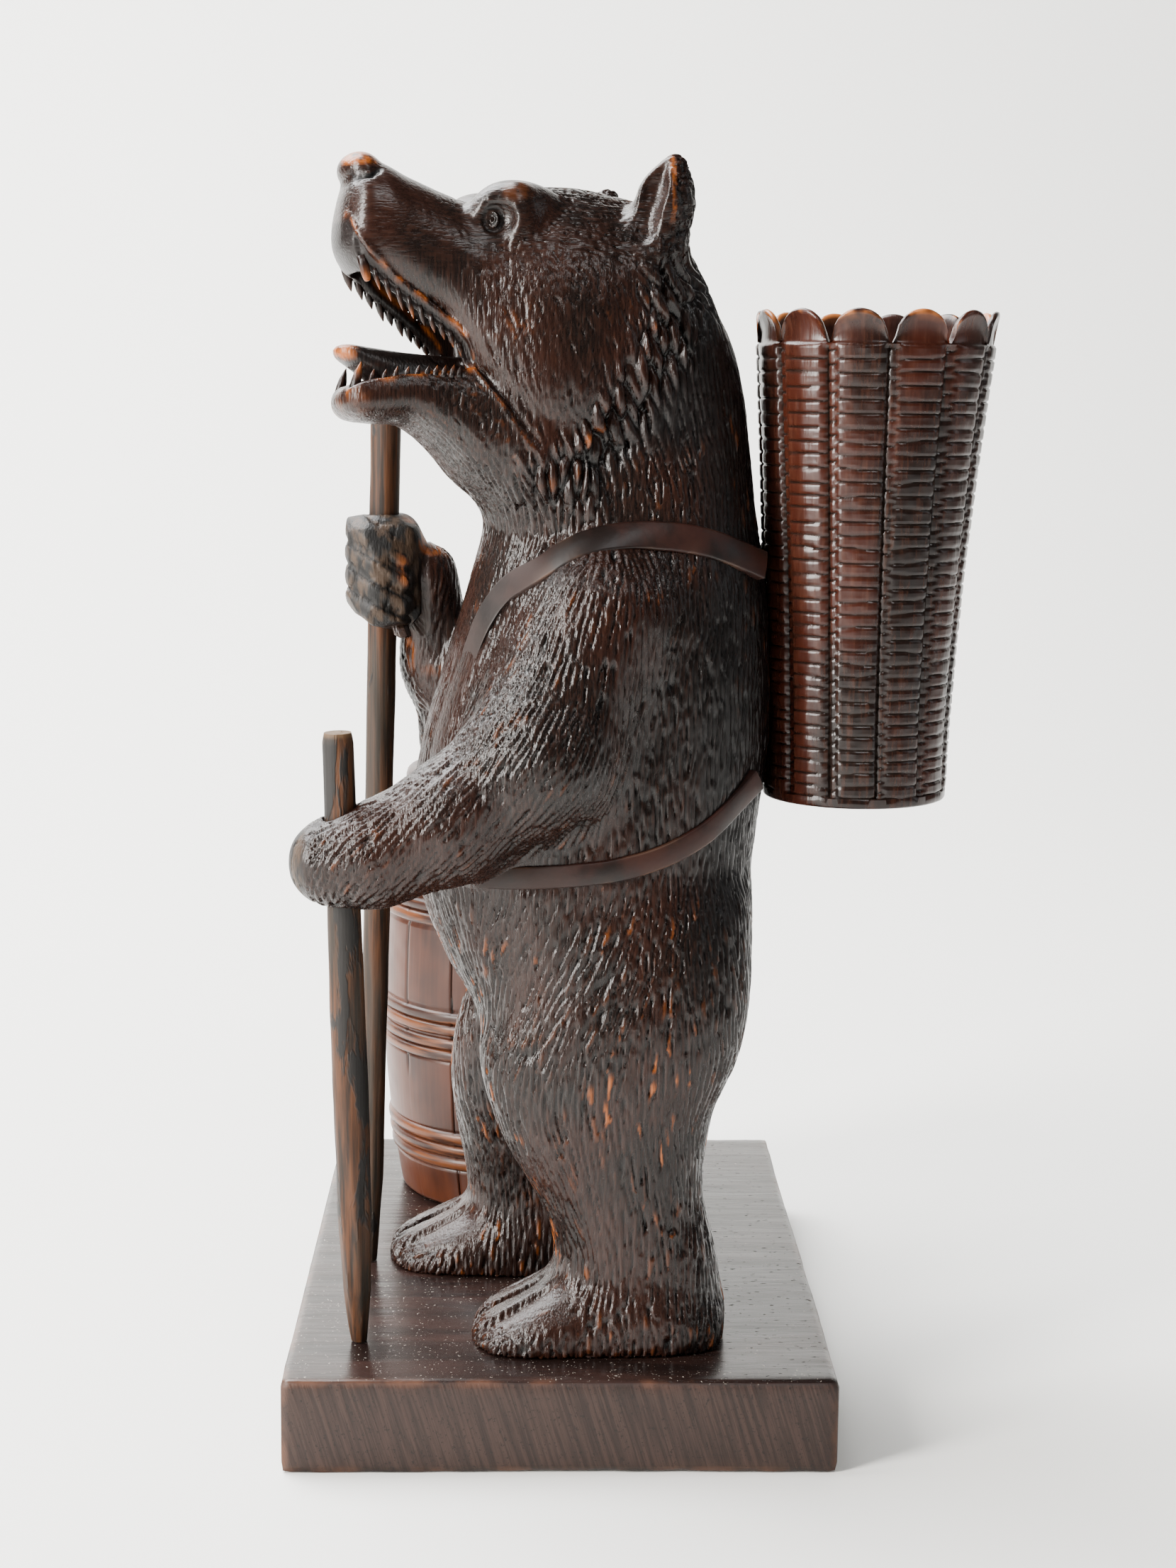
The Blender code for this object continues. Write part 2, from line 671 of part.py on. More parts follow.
def barrel_object(material):
    outside = [(BARREL_END_RADIUS - 1.2, BARREL_LOW), (barrel_radius(BARREL_LOW + 1.5), BARREL_LOW + 1.5)]
    for shares in BARREL_HOOPS:
        group = [barrel_height(share) for share in shares]
        outside.append((barrel_radius(group[0] - HOOP_HALF), group[0] - HOOP_HALF))
        for z, after in zip(group, group[1:] + [None]):
            outside.append((barrel_radius(z) + HOOP_PROUD, z))
            valley = 0.5 * (z + after) if after else z + HOOP_HALF
            outside.append((barrel_radius(valley), valley))
    shoulder = barrel_height(BARREL_SHOULDER)
    outside += [(barrel_radius(shoulder), shoulder), (BARREL_END_RADIUS + 1.0, BARREL_RIM - 6.0)]
    outside += [(BARREL_END_RADIUS - 1.6, BARREL_RIM - 5.2), (BARREL_END_RADIUS - 0.2, BARREL_RIM - 2.6)]
    outside.append((BARREL_END_RADIUS - 1.8, BARREL_RIM))
    heights = np.linspace(BARREL_RIM, BARREL_LOW + 8.0, 3)
    inside = [(barrel_radius(z) - BARREL_WALL, float(z)) for z in heights]
    rows = [outside[0]]
    for row in outside[1:]:
        if row[1] - rows[-1][1] > 0.4:
            rows.append(row)
    return turned("barrel", rows + inside, material, BARREL_SIDES)


def lid_object(material):
    low = BARREL_RIM + GAP
    edge = BARREL_END_RADIUS - 1.6
    plug = BARREL_END_RADIUS - BARREL_WALL - 1.0
    profile = [
        (plug - 1.0, low - 5.0),
        (plug, low - 4.0),
        (plug, low),
        (edge - 1.6, low),
        (edge, low + 2.2),
        (edge, low + 5.0),
        (edge - 2.4, LID_TOP),
        (edge - 7.0, LID_TOP),
        (edge - 8.0, LID_TOP - 2.0),
    ]
    return turned("barrel_lid", profile, material, BARREL_SIDES)


def plinth_object(material):
    bpy.ops.mesh.primitive_cube_add(size=1.0, location=(0.0, 0.0, 0.5 * PLINTH_TOP * MM))
    made = bpy.context.object
    made.name = "plinth"
    made.data.transform(Matrix.Diagonal((PLINTH_X * MM, PLINTH_Y * MM, PLINTH_TOP * MM, 1.0)))
    edge = made.modifiers.new("Worn edge", "BEVEL")
    edge.width = PLINTH_EDGE * MM
    edge.segments = 3
    made.data.materials.append(material)
    return made


def skin_at(start, direction, field, travel=90.0):
    """The first point of a field's skin from start along direction, and its outward normal."""
    direction = np.asarray(direction, float) / np.linalg.norm(direction)
    reach = np.linspace(0.0, travel, 181)
    places = np.array(start, float) + reach[:, None] * direction
    value = field(places[:, 0], places[:, 1], places[:, 2])
    first = int(np.argmax(value < 0.0))
    low, high = reach[max(first - 1, 0)], reach[first]
    for _ in range(18):
        middle = 0.5 * (low + high)
        place = np.array(start) + middle * direction
        if field(*place) < 0.0:
            high = middle
        else:
            low = middle
    place = np.array(start) + low * direction
    lean = [field(*(place + 0.5 * axis)) - field(*(place - 0.5 * axis)) for axis in np.eye(3)]
    return place, np.array(lean) / np.linalg.norm(lean)


# Each strap is a loop round one arm, as (start, direction) of lines that meet the skin: over the shoulder
# from the basket, then down the chest, under the arm and back. These are the left strap's; the right one
# mirrors them.
STRAP_OVER = (
    ((150.0, 78.0, 347.5), (-1.0, -0.25, -0.08)),
    ((150.0, 62.0, 351.0), (-1.0, -0.15, -0.08)),
    ((150.0, 42.0, 354.0), (-1.0, -0.05, -0.1)),
    ((150.0, 20.0, 354.0), (-1.0, 0.0, -0.1)),
    ((150.0, 2.0, 349.5), (-1.0, 0.0, -0.1)),
    ((150.0, -14.0, 341.0), (-1.0, 0.1, -0.1)),
    ((140.0, -42.0, 328.5), (-1.0, 0.4, 0.0)),
)
STRAP_UNDER = (
    ((110.0, -95.0, 312.0), (-0.35, 1.0, 0.0)),
    ((90.0, -98.0, 288.0), (-0.1, 1.0, 0.0)),
    ((84.0, -98.0, 264.0), (0.0, 1.0, 0.0)),
    ((90.0, -98.0, 240.0), (-0.05, 1.0, 0.0)),
    ((118.0, -85.0, 224.0), (-0.6, 1.0, 0.0)),
    ((150.0, -48.0, 220.5), (-1.0, 0.3, 0.0)),
    ((150.0, -24.0, 221.0), (-1.0, 0.1, 0.0)),
    ((150.0, 0.0, 222.5), (-1.0, 0.0, 0.0)),
    ((150.0, 24.0, 225.5), (-1.0, 0.0, 0.0)),
    ((150.0, 48.0, 232.0), (-1.0, -0.1, 0.0)),
    ((150.0, 68.0, 240.0), (-1.0, -0.2, 0.0)),
    ((150.0, 84.0, 246.0), (-1.0, -0.35, 0.0)),
)


def strap_rings(side):
    """Rings of one strap, each a flat section square to the skin: side 1 is the left one, -1 the right."""
    found = []
    for lines, field in ((STRAP_OVER, bear_field), (STRAP_UNDER, trunk_field)):
        for start, direction in lines:
            start = (BEAR_X + side * (start[0] - BEAR_X), start[1], start[2])
            found.append(skin_at(start, (side * direction[0], direction[1], direction[2]), field))
    places = np.array([place for place, _ in found])
    normals = np.array([normal for _, normal in found])
    first = places[0] + STRAP_REACH * (places[0] - places[1]) / np.linalg.norm(places[0] - places[1])
    last = places[-1] + STRAP_REACH * (places[-1] - places[-2]) / np.linalg.norm(places[-1] - places[-2])
    places = np.vstack([first, places, last])
    normals = np.vstack([normals[:1], normals, normals[-1:]])
    runs = np.gradient(places, axis=0)
    level = (370.0, STRAP_LOW_LEVEL + 15.0, STRAP_LOW_LEVEL)
    widths = np.interp(-places[:, 2], [-z for z in level], (STRAP_WIDTH, STRAP_WIDTH, STRAP_LOW_WIDTH))
    rings = []
    for place, normal, run, width in zip(places, normals, runs, widths):
        across = np.cross(normal, run)
        across /= np.linalg.norm(across)
        half = 0.5 * width
        rings.append([
            place + normal * height + across * side
            for height, side in (
                (-STRAP_DEEP, -half), (STRAP_PROUD, -half), (STRAP_PROUD, half), (-STRAP_DEEP, half)
            )
        ])
    return rings


def tooth(base, tip, radius):
    """A small four-sided spike from a root sunk below its base to its blunt tip."""
    root = base - 0.6 * (tip - base)
    return tube(bar_rings(root, tip, ((0.0, 1.3 * radius), (1.0, 0.2)), 4))


def bead(centre, radius):
    """A small ball."""
    poles = [(math.cos(a), math.sin(a)) for a in np.linspace(-1.25, 1.25, 5)]
    rings = []
    for across, rise in poles:
        turns = [2.0 * math.pi * i / 8 for i in range(8)]
        offsets = [np.array([across * math.cos(a), across * math.sin(a), rise]) for a in turns]
        rings.append([centre + radius * offset for offset in offsets])
    return tube(rings)


def head_skin(forward, left, rising):
    """The lip or gum met from the middle of the mouth, going up or down along the head's own upright."""
    start = from_head(forward, left, -26.0 if rising else -14.0)
    return skin_at(start, head_axes()[2] * (1.0 if rising else -1.0), bare_head_field, 50.0)[0]


def teeth():
    """Rows of small pointed teeth along both jaws, with a longer fang at each front corner."""
    made = []
    up, forwards = head_axes()[2], head_axes()[0]
    for side in (-1, 1):
        for i in range(9):
            forward = 107.5 if i == 0 else 106.5 - 3.6 * i
            half = np.interp(forward, (74.0, 90.0, 103.0, 108.0), (19.5, 17.5, 15.5, 12.0))
            base = head_skin(forward, side * half, True)
            drop = FANG if i == 0 else TOOTH
            made.append(tooth(base, base - up * drop - forwards, 2.1 if i == 0 else 1.3))
        for i in range(8):
            forward = 112.0 if i == 0 else 111.5 - 4.6 * i
            half = np.interp(forward, (76.0, 92.0, 106.0, 114.0), (21.5, 18.0, 15.0, 11.0))
            base = head_skin(forward, side * half, False)
            rise = FANG if i == 0 else 0.7 * TOOTH
            made.append(tooth(base, base + up * rise, 2.2 if i == 0 else 1.8))
        made.append(bead(from_head(62.8, side * 23.2, 22.2), EYE))
    return made


def grooves():
    """Slots between the toes and between the fingers of the raised fist."""
    made = []
    for heel, spread in FEET:
        for side in TOE_GROOVES:
            ends = []
            for forward, share, rise in ((73.0, 0.8, 23.0), (99.0, 1.15, 6.5)):
                x = heel[0] + share * side + spread * (forward - 45.0)
                ends.append((x, heel[1] - forward, PLINTH_TOP + rise))
            made.append(tube(bar_rings(ends[0], ends[1], ((0.0, 1.2), (1.0, 4.2)), 4)))
    for drop in FINGER_GROOVES:
        start, end = (42.5, -86.0, drop), (42.5, -64.0, drop - 9.0)
        made.append(tube(bar_rings(start, end, ((0.0, 3.6), (1.0, 2.4)), 4)))
    return made


def cut_tools():
    """What is taken from the bear: the basket's seat, the staffs' holes, the ground and the grooves."""
    seat = []
    for z in np.linspace(BASKET_LOW[2] - 3.0, BASKET_RIM[2] + 30.0, 7):
        centre = basket_centre(z)
        radius = basket_radius(z) + GAP + 0.4
        turns = [2.0 * math.pi * i / 48 for i in range(48)]
        seat.append([centre + radius * np.array([math.cos(a), math.sin(a), 0.0]) for a in turns])
    ground = [
        [(-120.0, -140.0, z), (170.0, -140.0, z), (170.0, 120.0, z), (-120.0, 120.0, z)]
        for z in (-20.0, PLINTH_TOP + GAP)
    ]
    left = bar_rings(STAFF_LEFT[0], STAFF_LEFT[1], ((0.62, 6.8), (0.8, 6.3), (0.99, 5.95)), 28, 0.5)
    right = bar_rings(STAFF_RIGHT[0], STAFF_RIGHT[1], ((0.66, 5.95), (0.92, 6.2)), 28, 0.5)
    return [tube(seat), tube(ground), tube(left), tube(right)] + grooves()


def bear_object(material):
    points, quads = net_of(carved_field(lock_bars()), (-48.0, -116.0, 26.0), (154.0, 98.0, 502.0), NET_STEP)
    made = mesh_object("bear", points, quads, material, smooth=True)
    plain = made.vertex_groups.new(name="plain")
    z, y = points[:, 2], points[:, 1]
    toes = (z < PLINTH_TOP + 30.0) & (y < -12.0)
    care = (z > HEAD_PIVOT[2] - 46.0) | toes | ((z > 306.0) & (y < -52.0))
    plain.add(np.flatnonzero(~care).tolist(), 1.0, "REPLACE")
    plain.add(np.flatnonzero(care).tolist(), 0.5, "REPLACE")
    thin = made.modifiers.new("Fewer faces", "DECIMATE")
    thin.ratio = BEAR_TRIANGLES / (2.0 * len(quads))
    thin.vertex_group = plain.name
    thin.vertex_group_factor = FINE_CARE
    added = cutter(joined("straps", [tube(strap_rings(1)), tube(strap_rings(-1))]))
    boolean(made, added, "UNION")
    fangs = cutter(joined("teeth", teeth()))
    boolean(made, fangs, "UNION", crossing=True)
    taken = cutter(joined("taken_from_bear", cut_tools()))
    boolean(made, taken, "DIFFERENCE")
    return made


for old in list(bpy.data.objects):
    bpy.data.objects.remove(old)

fur = material_of("carved_fur", (0.055, 0.032, 0.022), 0.42)
weave = material_of("carved_weave", (0.06, 0.028, 0.018), 0.4)
staves = material_of("barrel_staves", (0.12, 0.042, 0.022), 0.45)
bark = material_of("peeled_branch", (0.16, 0.085, 0.038), 0.62)
plank = material_of("plinth_plank", (0.07, 0.036, 0.028), 0.55)

plinth_object(plank)
bear_object(fur)
basket_object(weave)
barrel_object(staves)
lid_object(staves)
staff("staff_left", STAFF_LEFT, STAFF_LEFT_RADII, bark)
staff("staff_right", STAFF_RIGHT, STAFF_RIGHT_RADII, bark)
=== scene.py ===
"""The looks of the carved bear bottle holder: cut fur, woven panels, staves, bark and a worn plank.

Lengths are millimetres in the row frame, scaled to metres where a mesh is made. Up is +Z, the bear looks
towards -Y and its left side is +X.
"""

import itertools
import math

import bpy
import numpy as np
from mathutils import Matrix, Vector
from mathutils.kdtree import KDTree


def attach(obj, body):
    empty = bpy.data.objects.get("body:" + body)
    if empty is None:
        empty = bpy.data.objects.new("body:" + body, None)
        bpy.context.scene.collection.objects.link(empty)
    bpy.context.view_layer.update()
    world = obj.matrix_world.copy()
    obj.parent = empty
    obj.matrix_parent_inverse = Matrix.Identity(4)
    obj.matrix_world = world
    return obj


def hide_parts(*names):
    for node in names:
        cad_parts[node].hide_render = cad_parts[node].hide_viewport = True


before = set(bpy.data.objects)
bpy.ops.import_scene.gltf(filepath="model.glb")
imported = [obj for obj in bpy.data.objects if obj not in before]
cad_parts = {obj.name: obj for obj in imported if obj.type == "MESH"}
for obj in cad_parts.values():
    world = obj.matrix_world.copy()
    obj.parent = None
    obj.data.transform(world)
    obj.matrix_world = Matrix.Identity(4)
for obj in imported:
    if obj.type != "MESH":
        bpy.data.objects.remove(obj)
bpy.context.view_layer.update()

MM = 0.001
GAP = 0.3  # between pieces that would otherwise touch
SEED = 11
LATTICE = 32  # random numbers along each side of the noise's repeating block

PLINTH_X = 301
PLINTH_Y = 210
PLINTH_TOP = 36.6
BEAR_X = 54
FINE = 1
BEAR_STEP = (0.77 * FINE, 0.77 * FINE, 1.5 * FINE)  # cell of the grid that the bear is sampled on
BLOCK = 8  # samples along a block of that grid
SEAT_DEPTH = 3  # how far the basket's seat in the back goes on below the basket
BEAR_LOW = (-48, -116, 28)
BEAR_HIGH = (154, 98, 502)
HEAD_FROM = 318  # the levels where each form can reach the bear's skin
ARMS_SPAN = (190, 370)
FIST_SPAN = (296, 370)
FEET_TO = 90
LOFT_STATIONS = 160
NET_SMOOTHINGS = 2
SKIN_PROBES = 181  # places along a line that is followed to the skin
SKIN_HALVINGS = 18
WHITTLINGS = 40  # flats cut on the raised fist
BEAR_PIECES = ("bear_legs", "bear_hips", "bear_chest", "bear_neck", "bear_head")

HEAD_PIVOT = (54, 25, 440)
HEAD_TURN = math.radians(18)
HEAD_TILT = math.radians(6)
EYE = (62.8, 24.6, 22.2)
EYE_GROOVE = 4.4  # how far round it the wood is cut
EYE_SIDES = 32

BASKET_LOW = (54, 116.2, 244)
BASKET_RIM = (54, 120, 421)
BASKET_LOW_RADIUS = 36.3
BASKET_RIM_RADIUS = 46.5
BASKET_WALL = 5
BASKET_FLOOR = 9
BASKET_PANELS = 12
BASKET_TAB = 12.6
TAB_MIDDLE = 0.55  # across a panel, as a share of it
TAB_HALF = 0.44
BASKET_FIRST_PANEL = math.radians(-16.7)
BASKET_TWIST = math.radians(8.5)
BASKET_CHIP = (90, 103, 263)  # where bare wood shows
WEAVE_ROWS = 35
WEAVE_COLUMNS = 22  # points across a panel and the strip beside it
WEAVE_LAYER = 0.75  # height from one ring of points to the next
WEAVE_CUT = 0.7  # depth of the cuts between woven rows
BAND = 4.2  # height of the plain band below the weave

BARREL_X = -90
BARREL_Y = -19
BARREL_END_RADIUS = 52
BARREL_BELLY = 9
BARREL_WALL = 7
BARREL_LOW = PLINTH_TOP + GAP
BARREL_RIM = 224
BARREL_COLUMNS = 14  # points across a stave
BARREL_LAYER = 0.8
BARREL_HOOPS = ((0.115, 0.148, 0.18), (0.388, 0.417), (0.452, 0.482), (0.711, 0.743, 0.776))
HOOP_HALF = 2.6
HOOP_PROUD = 1.5
LID_TOP = BARREL_RIM + 8.5
LID_SIDES = 96
STAVES = 14
FIRST_JOINT = math.radians(-27.3)

STAFF_LEFT = ((110.6, -78, PLINTH_TOP + GAP), (117, -84.5, 276.6))
STAFF_LEFT_RADII = ((0, 3.2), (0.09, 5.8), (0.22, 7), (0.5, 6.9), (0.8, 6.3), (1, 5.9))
STAFF_RIGHT = ((21.5, -79.5, PLINTH_TOP + GAP), (26, -71.2, 404))
STAFF_RIGHT_RADII = ((0, 3), (0.1, 5), (0.4, 5.7), (0.8, 6.1), (1, 6.3))
STAFF_SIDES = 32
STAFF_RINGS = 120
PLANK_CELL = 3.4

FANG = 6.5
TOOTH_SIDES = 8
TOOTH_PROFILE = ((-0.5, 1.1), (0, 1.05), (0.35, 0.9), (0.7, 0.5), (0.95, 0.16), (1, 0.05))
BROKEN_PROFILE = ((-0.5, 1.1), (0, 1.1), (0.4, 1), (0.75, 0.8), (0.9, 0.6), (0.94, 0.2))
UPPER_TEETH = (107.5, 103, 99, 94.8, 91, 87, 83.2, 79.6, 76.4, 73.4)  # how far forward each is
LOWER_TEETH = (113.4, 108, 103.5, 99.5, 95.4, 91.6, 88, 85, 82, 79, 76.4)
STRAP_WIDTH = 11  # over the shoulder
STRAP_LOW_WIDTH = 8.6  # below the arm
STRAP_LOW_LEVEL = 250
STRAP_REACH = 16
STRAP_PROUD = 1
STRAP_STATIONS = 130
STRAP_SMOOTHINGS = (10, 40)  # of its places and of its normals

STROKE_LEAN = 0.09  # how far strokes stray from the flow, at random
STROKE_WARP = 0.3  # how far their sides wander
STROKE_EDGE = 0.95  # share of a stroke's width that its sides take up
STROKE_SPACING = 1.2  # least gap between strokes' centres, in half widths and half lengths
STROKE_CELL = 12.5  # cell of the grid that close strokes are looked for in
NEIGHBOURS = 18  # strokes that each point is measured against
CHUNK = 60000  # points measured at a time
FUR_MARKS = ("ridge", "coat", "worn", "aged", "crown", "dark")

SPECULAR = 0.3  # how much the stained wood reflects, head on

# Rows of a form: (along, across low, across high, side centre, half width).
TORSO = (
    (140, -22, 68, BEAR_X, 54),
    (160, -34, 72, BEAR_X, 60),
    (180, -46, 74, BEAR_X, 63),
    (205, -56, 74, BEAR_X, 63),
    (235, -60, 77.5, BEAR_X, 62),
    (265, -56, 81, BEAR_X, 60),
    (300, -46, 81, BEAR_X, 58),
    (330, -37, 78.5, BEAR_X, 54),
    (352, -32, 75, BEAR_X, 49),
    (375, -34, 72, BEAR_X + 1, 45),
    (400, -34, 69, BEAR_X + 2, 43),
    (425, -28, 61.5, BEAR_X + 4, 40),
    (450, -16, 46, BEAR_X + 5, 35),
)
LEFT_LEG = (
    (28, -4, 62, 98, 29),
    (45, -4, 64, 97.5, 28.5),
    (60, -3, 63, 97, 27.5),
    (75, -3, 60, 96, 27),
    (92, -9, 56, 95, 27.5),
    (108, -19, 56.5, 93, 29.5),
    (125, -27, 59.5, 91, 32),
    (145, -32, 68.5, 89, 34.5),
    (165, -29, 73, 86, 36),
    (190, -18, 73, 82, 35),
    (215, -6, 72, 78, 30),
)
RIGHT_LEG = (
    (28, -37, 27, 12, 29),
    (45, -37, 29, 12, 28),
    (60, -38, 28, 12.5, 27),
    (78, -39.5, 29, 13, 26.5),
    (95, -42.5, 34, 14, 28),
    (112, -45, 42, 16, 31),
    (130, -45, 56, 18, 34),
    (152, -40, 70, 21, 36),
    (178, -28, 74, 25, 35),
    (210, -12, 72, 30, 30),
)
FOOT = (
    (0, -14, 14, 0, 22),
    (20, -30, 30, 0, 29),
    (45, -31, 31, 0, 30.5),
    (62, -25, 25, 0, 31),
    (78, -16.5, 16.5, 0, 29.5),
    (90, -10, 10, 0, 24),
    (97, -5, 5, 0, 14),
)
FEET = (((98, 62), 0.06), ((12.5, 25), -0.06))  # each heel, and how its toes swing out
TOE_GROOVES = (-15, -1, 13)
FINGER_GROOVES = (345, 335.5, 326)
FINGER_CUTS = (350, 341.5, 332.5, 324)
FIST = (
    (312, -78, -62, 24, 10.5),
    (320, -84.5, -58.5, 24.5, 14),
    (333, -86.5, -57, 25, 15),
    (345, -84.5, -57, 25, 14),
    (353, -80, -62, 25, 10),
)
LEFT_ARM = (
    ((93, 14, 318), 31),
    ((107, -8, 266), 28),
    ((114, -44, 241.5), 20.8),
    ((116.5, -70, 230.5), 17.4),
    ((116, -86, 227.5), 17.2),
)
RIGHT_ARM = (
    ((15, 14, 318), 31),
    ((4, -10, 272), 26),
    ((2, -38, 256), 18),
    ((14, -50, 290), 14),
    ((24, -56, 328), 13),
)
# Head rows run forward from the pivot, along the head's own axes.
SKULL = (
    (-21, -40, 12, 0, 30),
    (-6, -56, 29.5, 0, 39),
    (14, -62, 36.5, 0, 42),
    (34, -67, 38.5, 0, 41.5),
    (50, -63, 36.5, 0, 37),
    (60, -53, 33, 0, 32),
    (68, -38, 32, 0, 28),
    (77, -18, 35, 0, 24.5),
    (90, -6, 40.5, 0, 22),
    (102, 2, 45.5, 0, 20.5),
    (110, 5, 43, 0, 18),
    (115.5, 11, 33, 0, 12),
)
JAW = (
    (30, -98, -34, 0, 35),
    (48, -91, -32, 0, 32.5),
    (62, -80, -30, 0, 28.5),
    (72, -72, -29.5, 0, 25.5),
    (81, -61, -30.5, 0, 23),
    (92, -52, -32, 0, 21),
    (106, -50.5, -34, 0, 18.5),
    (115, -49, -36.5, 0, 15),
    (120, -46, -39.5, 0, 8),
)
PALATE = (
    (66, -34, -8, 0, 16),
    (78, -24, -5, 0, 15.5),
    (90, -12, 4, 0, 14),
    (103, -6, 11, 0, 11.5),
    (110, 0, 10, 0, 7),
)
TROUGH = (
    (64, -39, -24, 0, 20),
    (80, -41, -26, 0, 17),
    (95, -42, -28, 0, 15),
    (108, -43, -30, 0, 12.5),
    (115, -43, -32, 0, 8),
)
TONGUE = (
    (60, -48, -26, 0, 14),
    (78, -48, -25.5, 0, 13),
    (95, -45, -24, 0, 11.5),
    (106, -35, -22.5, 0, 10),
    (114, -29, -21.5, 0, 8),
    (119, -26, -22, 0, 4),
)
# Joints of limbs on the left of the head: ((forward, left, up), radius).
EAR_LEAF = (((1, 30, 14), 13), ((-2, 35, 31), 9), ((-4.5, 37.5, 41.5), 4.6))
EAR_HOLLOW = (((12.5, 41, 17), 7), ((6, 41.5, 33), 4.6), ((1.5, 41, 41), 2))
PAD_EDGE = (((116, 5, 37), 1.3), ((115.5, 9.5, 30), 1.1), ((115, 13.5, 23.5), 0.8))
NOSTRIL = (
    ((116.8, 5.5, 40.8), 2), ((111.5, 12, 38), 1.4), ((106, 14.6, 37.8), 1.2), ((102, 13.4, 41), 0.8),
)
RUFF = ((1, 1, 8, 14.5, 22, 30, 46), (4, -15, -27, -38, -46, -60, -71))

# Lines on both sides of the head: (forward, up) at each bend.
UPPER_LIP = (
    (70.2, -32.2), (70.6, -27.2), (72.6, -20.9), (76.4, -15.7), (83.3, -9.7), (90, -4.4), (97.9, 1.6),
    (103.6, 7.3), (108.5, 11.6), (112.1, 16.8), (114.3, 24.9),
)
LOWER_LIP = ((70.2, -32.1), (82.5, -33.4), (94.6, -34.6), (105.9, -36), (113.8, -38.4), (118.5, -40.5))
CHEEK_FOLD = ((70.4, -32.6), (67.5, -38.1), (62.4, -45.3), (58.3, -52.3), (55.1, -57), (51.7, -61.7))

# Lines, (start, direction), that meet the skin where the left strap runs; the right one mirrors them.
STRAP_OVER = (
    ((150, 78, 347.5), (-1, -0.25, -0.08)),
    ((150, 62, 351), (-1, -0.15, -0.08)),
    ((150, 42, 354), (-1, -0.05, -0.1)),
    ((150, 20, 354), (-1, 0, -0.1)),
    ((150, 2, 349.5), (-1, 0, -0.1)),
    ((150, -14, 341), (-1, 0.1, -0.1)),
    ((140, -42, 328.5), (-1, 0.4, 0)),
)
STRAP_UNDER = (
    ((110, -95, 312), (-0.35, 1, 0)),
    ((90, -98, 288), (-0.1, 1, 0)),
    ((84, -98, 264), (0, 1, 0)),
    ((90, -98, 240), (-0.05, 1, 0)),
    ((118, -85, 224), (-0.6, 1, 0)),
    ((150, -48, 220.5), (-1, 0.3, 0)),
    ((150, -24, 221), (-1, 0.1, 0)),
    ((150, 0, 222.5), (-1, 0, 0)),
    ((150, 24, 225.5), (-1, 0, 0)),
    ((150, 48, 232), (-1, -0.1, 0)),
    ((150, 68, 240), (-1, -0.2, 0)),
    ((150, 84, 246), (-1, -0.35, 0)),
)


# Fields: each is below zero inside its form.


def smooth_min(a, b, reach):
    """The lesser of two fields, rounded where they come within reach of each other."""
    share = np.clip(0.5 + 0.5 * (b - a) / reach, 0, 1)
    return b + (a - b) * share - reach * share * (1 - share)


def smooth_max(a, b, reach):
    return -smooth_min(-a, -b, reach)


def ramp(x, start, end):
    """0 before start, 1 after end, easing between."""
    t = np.clip((x - start) / (end - start), 0, 1)
    return t * t * (3 - 2 * t)


def smooth_line(at, values, wanted):
    """Columns of values, known at rising places, at the wanted places on a smooth curve through them."""
    slopes = np.gradient(values, at, axis=0)
    index = np.clip(np.searchsorted(at, wanted) - 1, 0, len(at) - 2)
    width = (at[index + 1] - at[index])[:, None]
    t = (wanted - at[index])[:, None] / width
    return (
        (2 * t**3 - 3 * t**2 + 1) * values[index]
        + (t**3 - 2 * t**2 + t) * width * slopes[index]
        + (3 * t**2 - 2 * t**3) * values[index + 1]
        + (t**3 - t**2) * width * slopes[index + 1]
    )


def loft(along, across, side, rows, power=(2.3, 2.3), ends=8):
    """A superellipse at each place along rows. power holds its exponent below and above the middle."""
    knots = np.array(rows, float)
    fine = np.linspace(knots[0, 0], knots[-1, 0], LOFT_STATIONS)
    bends = smooth_line(knots[:, 0], knots[:, 1:], fine)
    low, high, middle, half = (np.interp(along, fine, bend) for bend in bends.T)
    reach = 0.5 * (high - low)
    height = (across - 0.5 * (high + low)) / reach
    power = np.where(height > 0, power[1], power[0])
    ratio = (np.abs(height) ** power + np.abs((side - middle) / half) ** power) ** (1 / power)
    wall = (ratio - 1) * np.minimum(reach, half)
    beyond = np.maximum(rows[0][0] - along, along - rows[-1][0])
    return smooth_max(wall, beyond, ends)


def capsule(p, start, end, first, last):
    """A round bar from start to end whose radius runs from first to last."""
    start, end = np.array(start, float), np.array(end, float)
    run = end - start
    from_start = [p[i] - start[i] for i in range(3)]
    t = sum(from_start[i] * run[i] for i in range(3)) / float(run @ run)
    t = np.clip(t, 0, 1)
    gap = sum((from_start[i] - t * run[i]) ** 2 for i in range(3))
    return np.sqrt(gap) - (first + (last - first) * t)


def limb(p, joints, reach):
    """Joints are (point, radius): the bars between them, blended."""
    bars = [capsule(p, a[0], b[0], a[1], b[1]) for a, b in zip(joints, joints[1:])]
    whole = bars[0]
    for bar in bars[1:]:
        whole = smooth_min(whole, bar, reach)
    return whole


def egg(p, centre, radii):
    """An ellipsoid with its axes along p's."""
    scaled = [(p[i] - centre[i]) / radii[i] for i in range(3)]
    length = np.sqrt(sum(s**2 for s in scaled)) + 1e-9
    slope = np.sqrt(sum((s / r) ** 2 for s, r in zip(scaled, radii))) + 1e-9
    return length * (length - 1) / slope


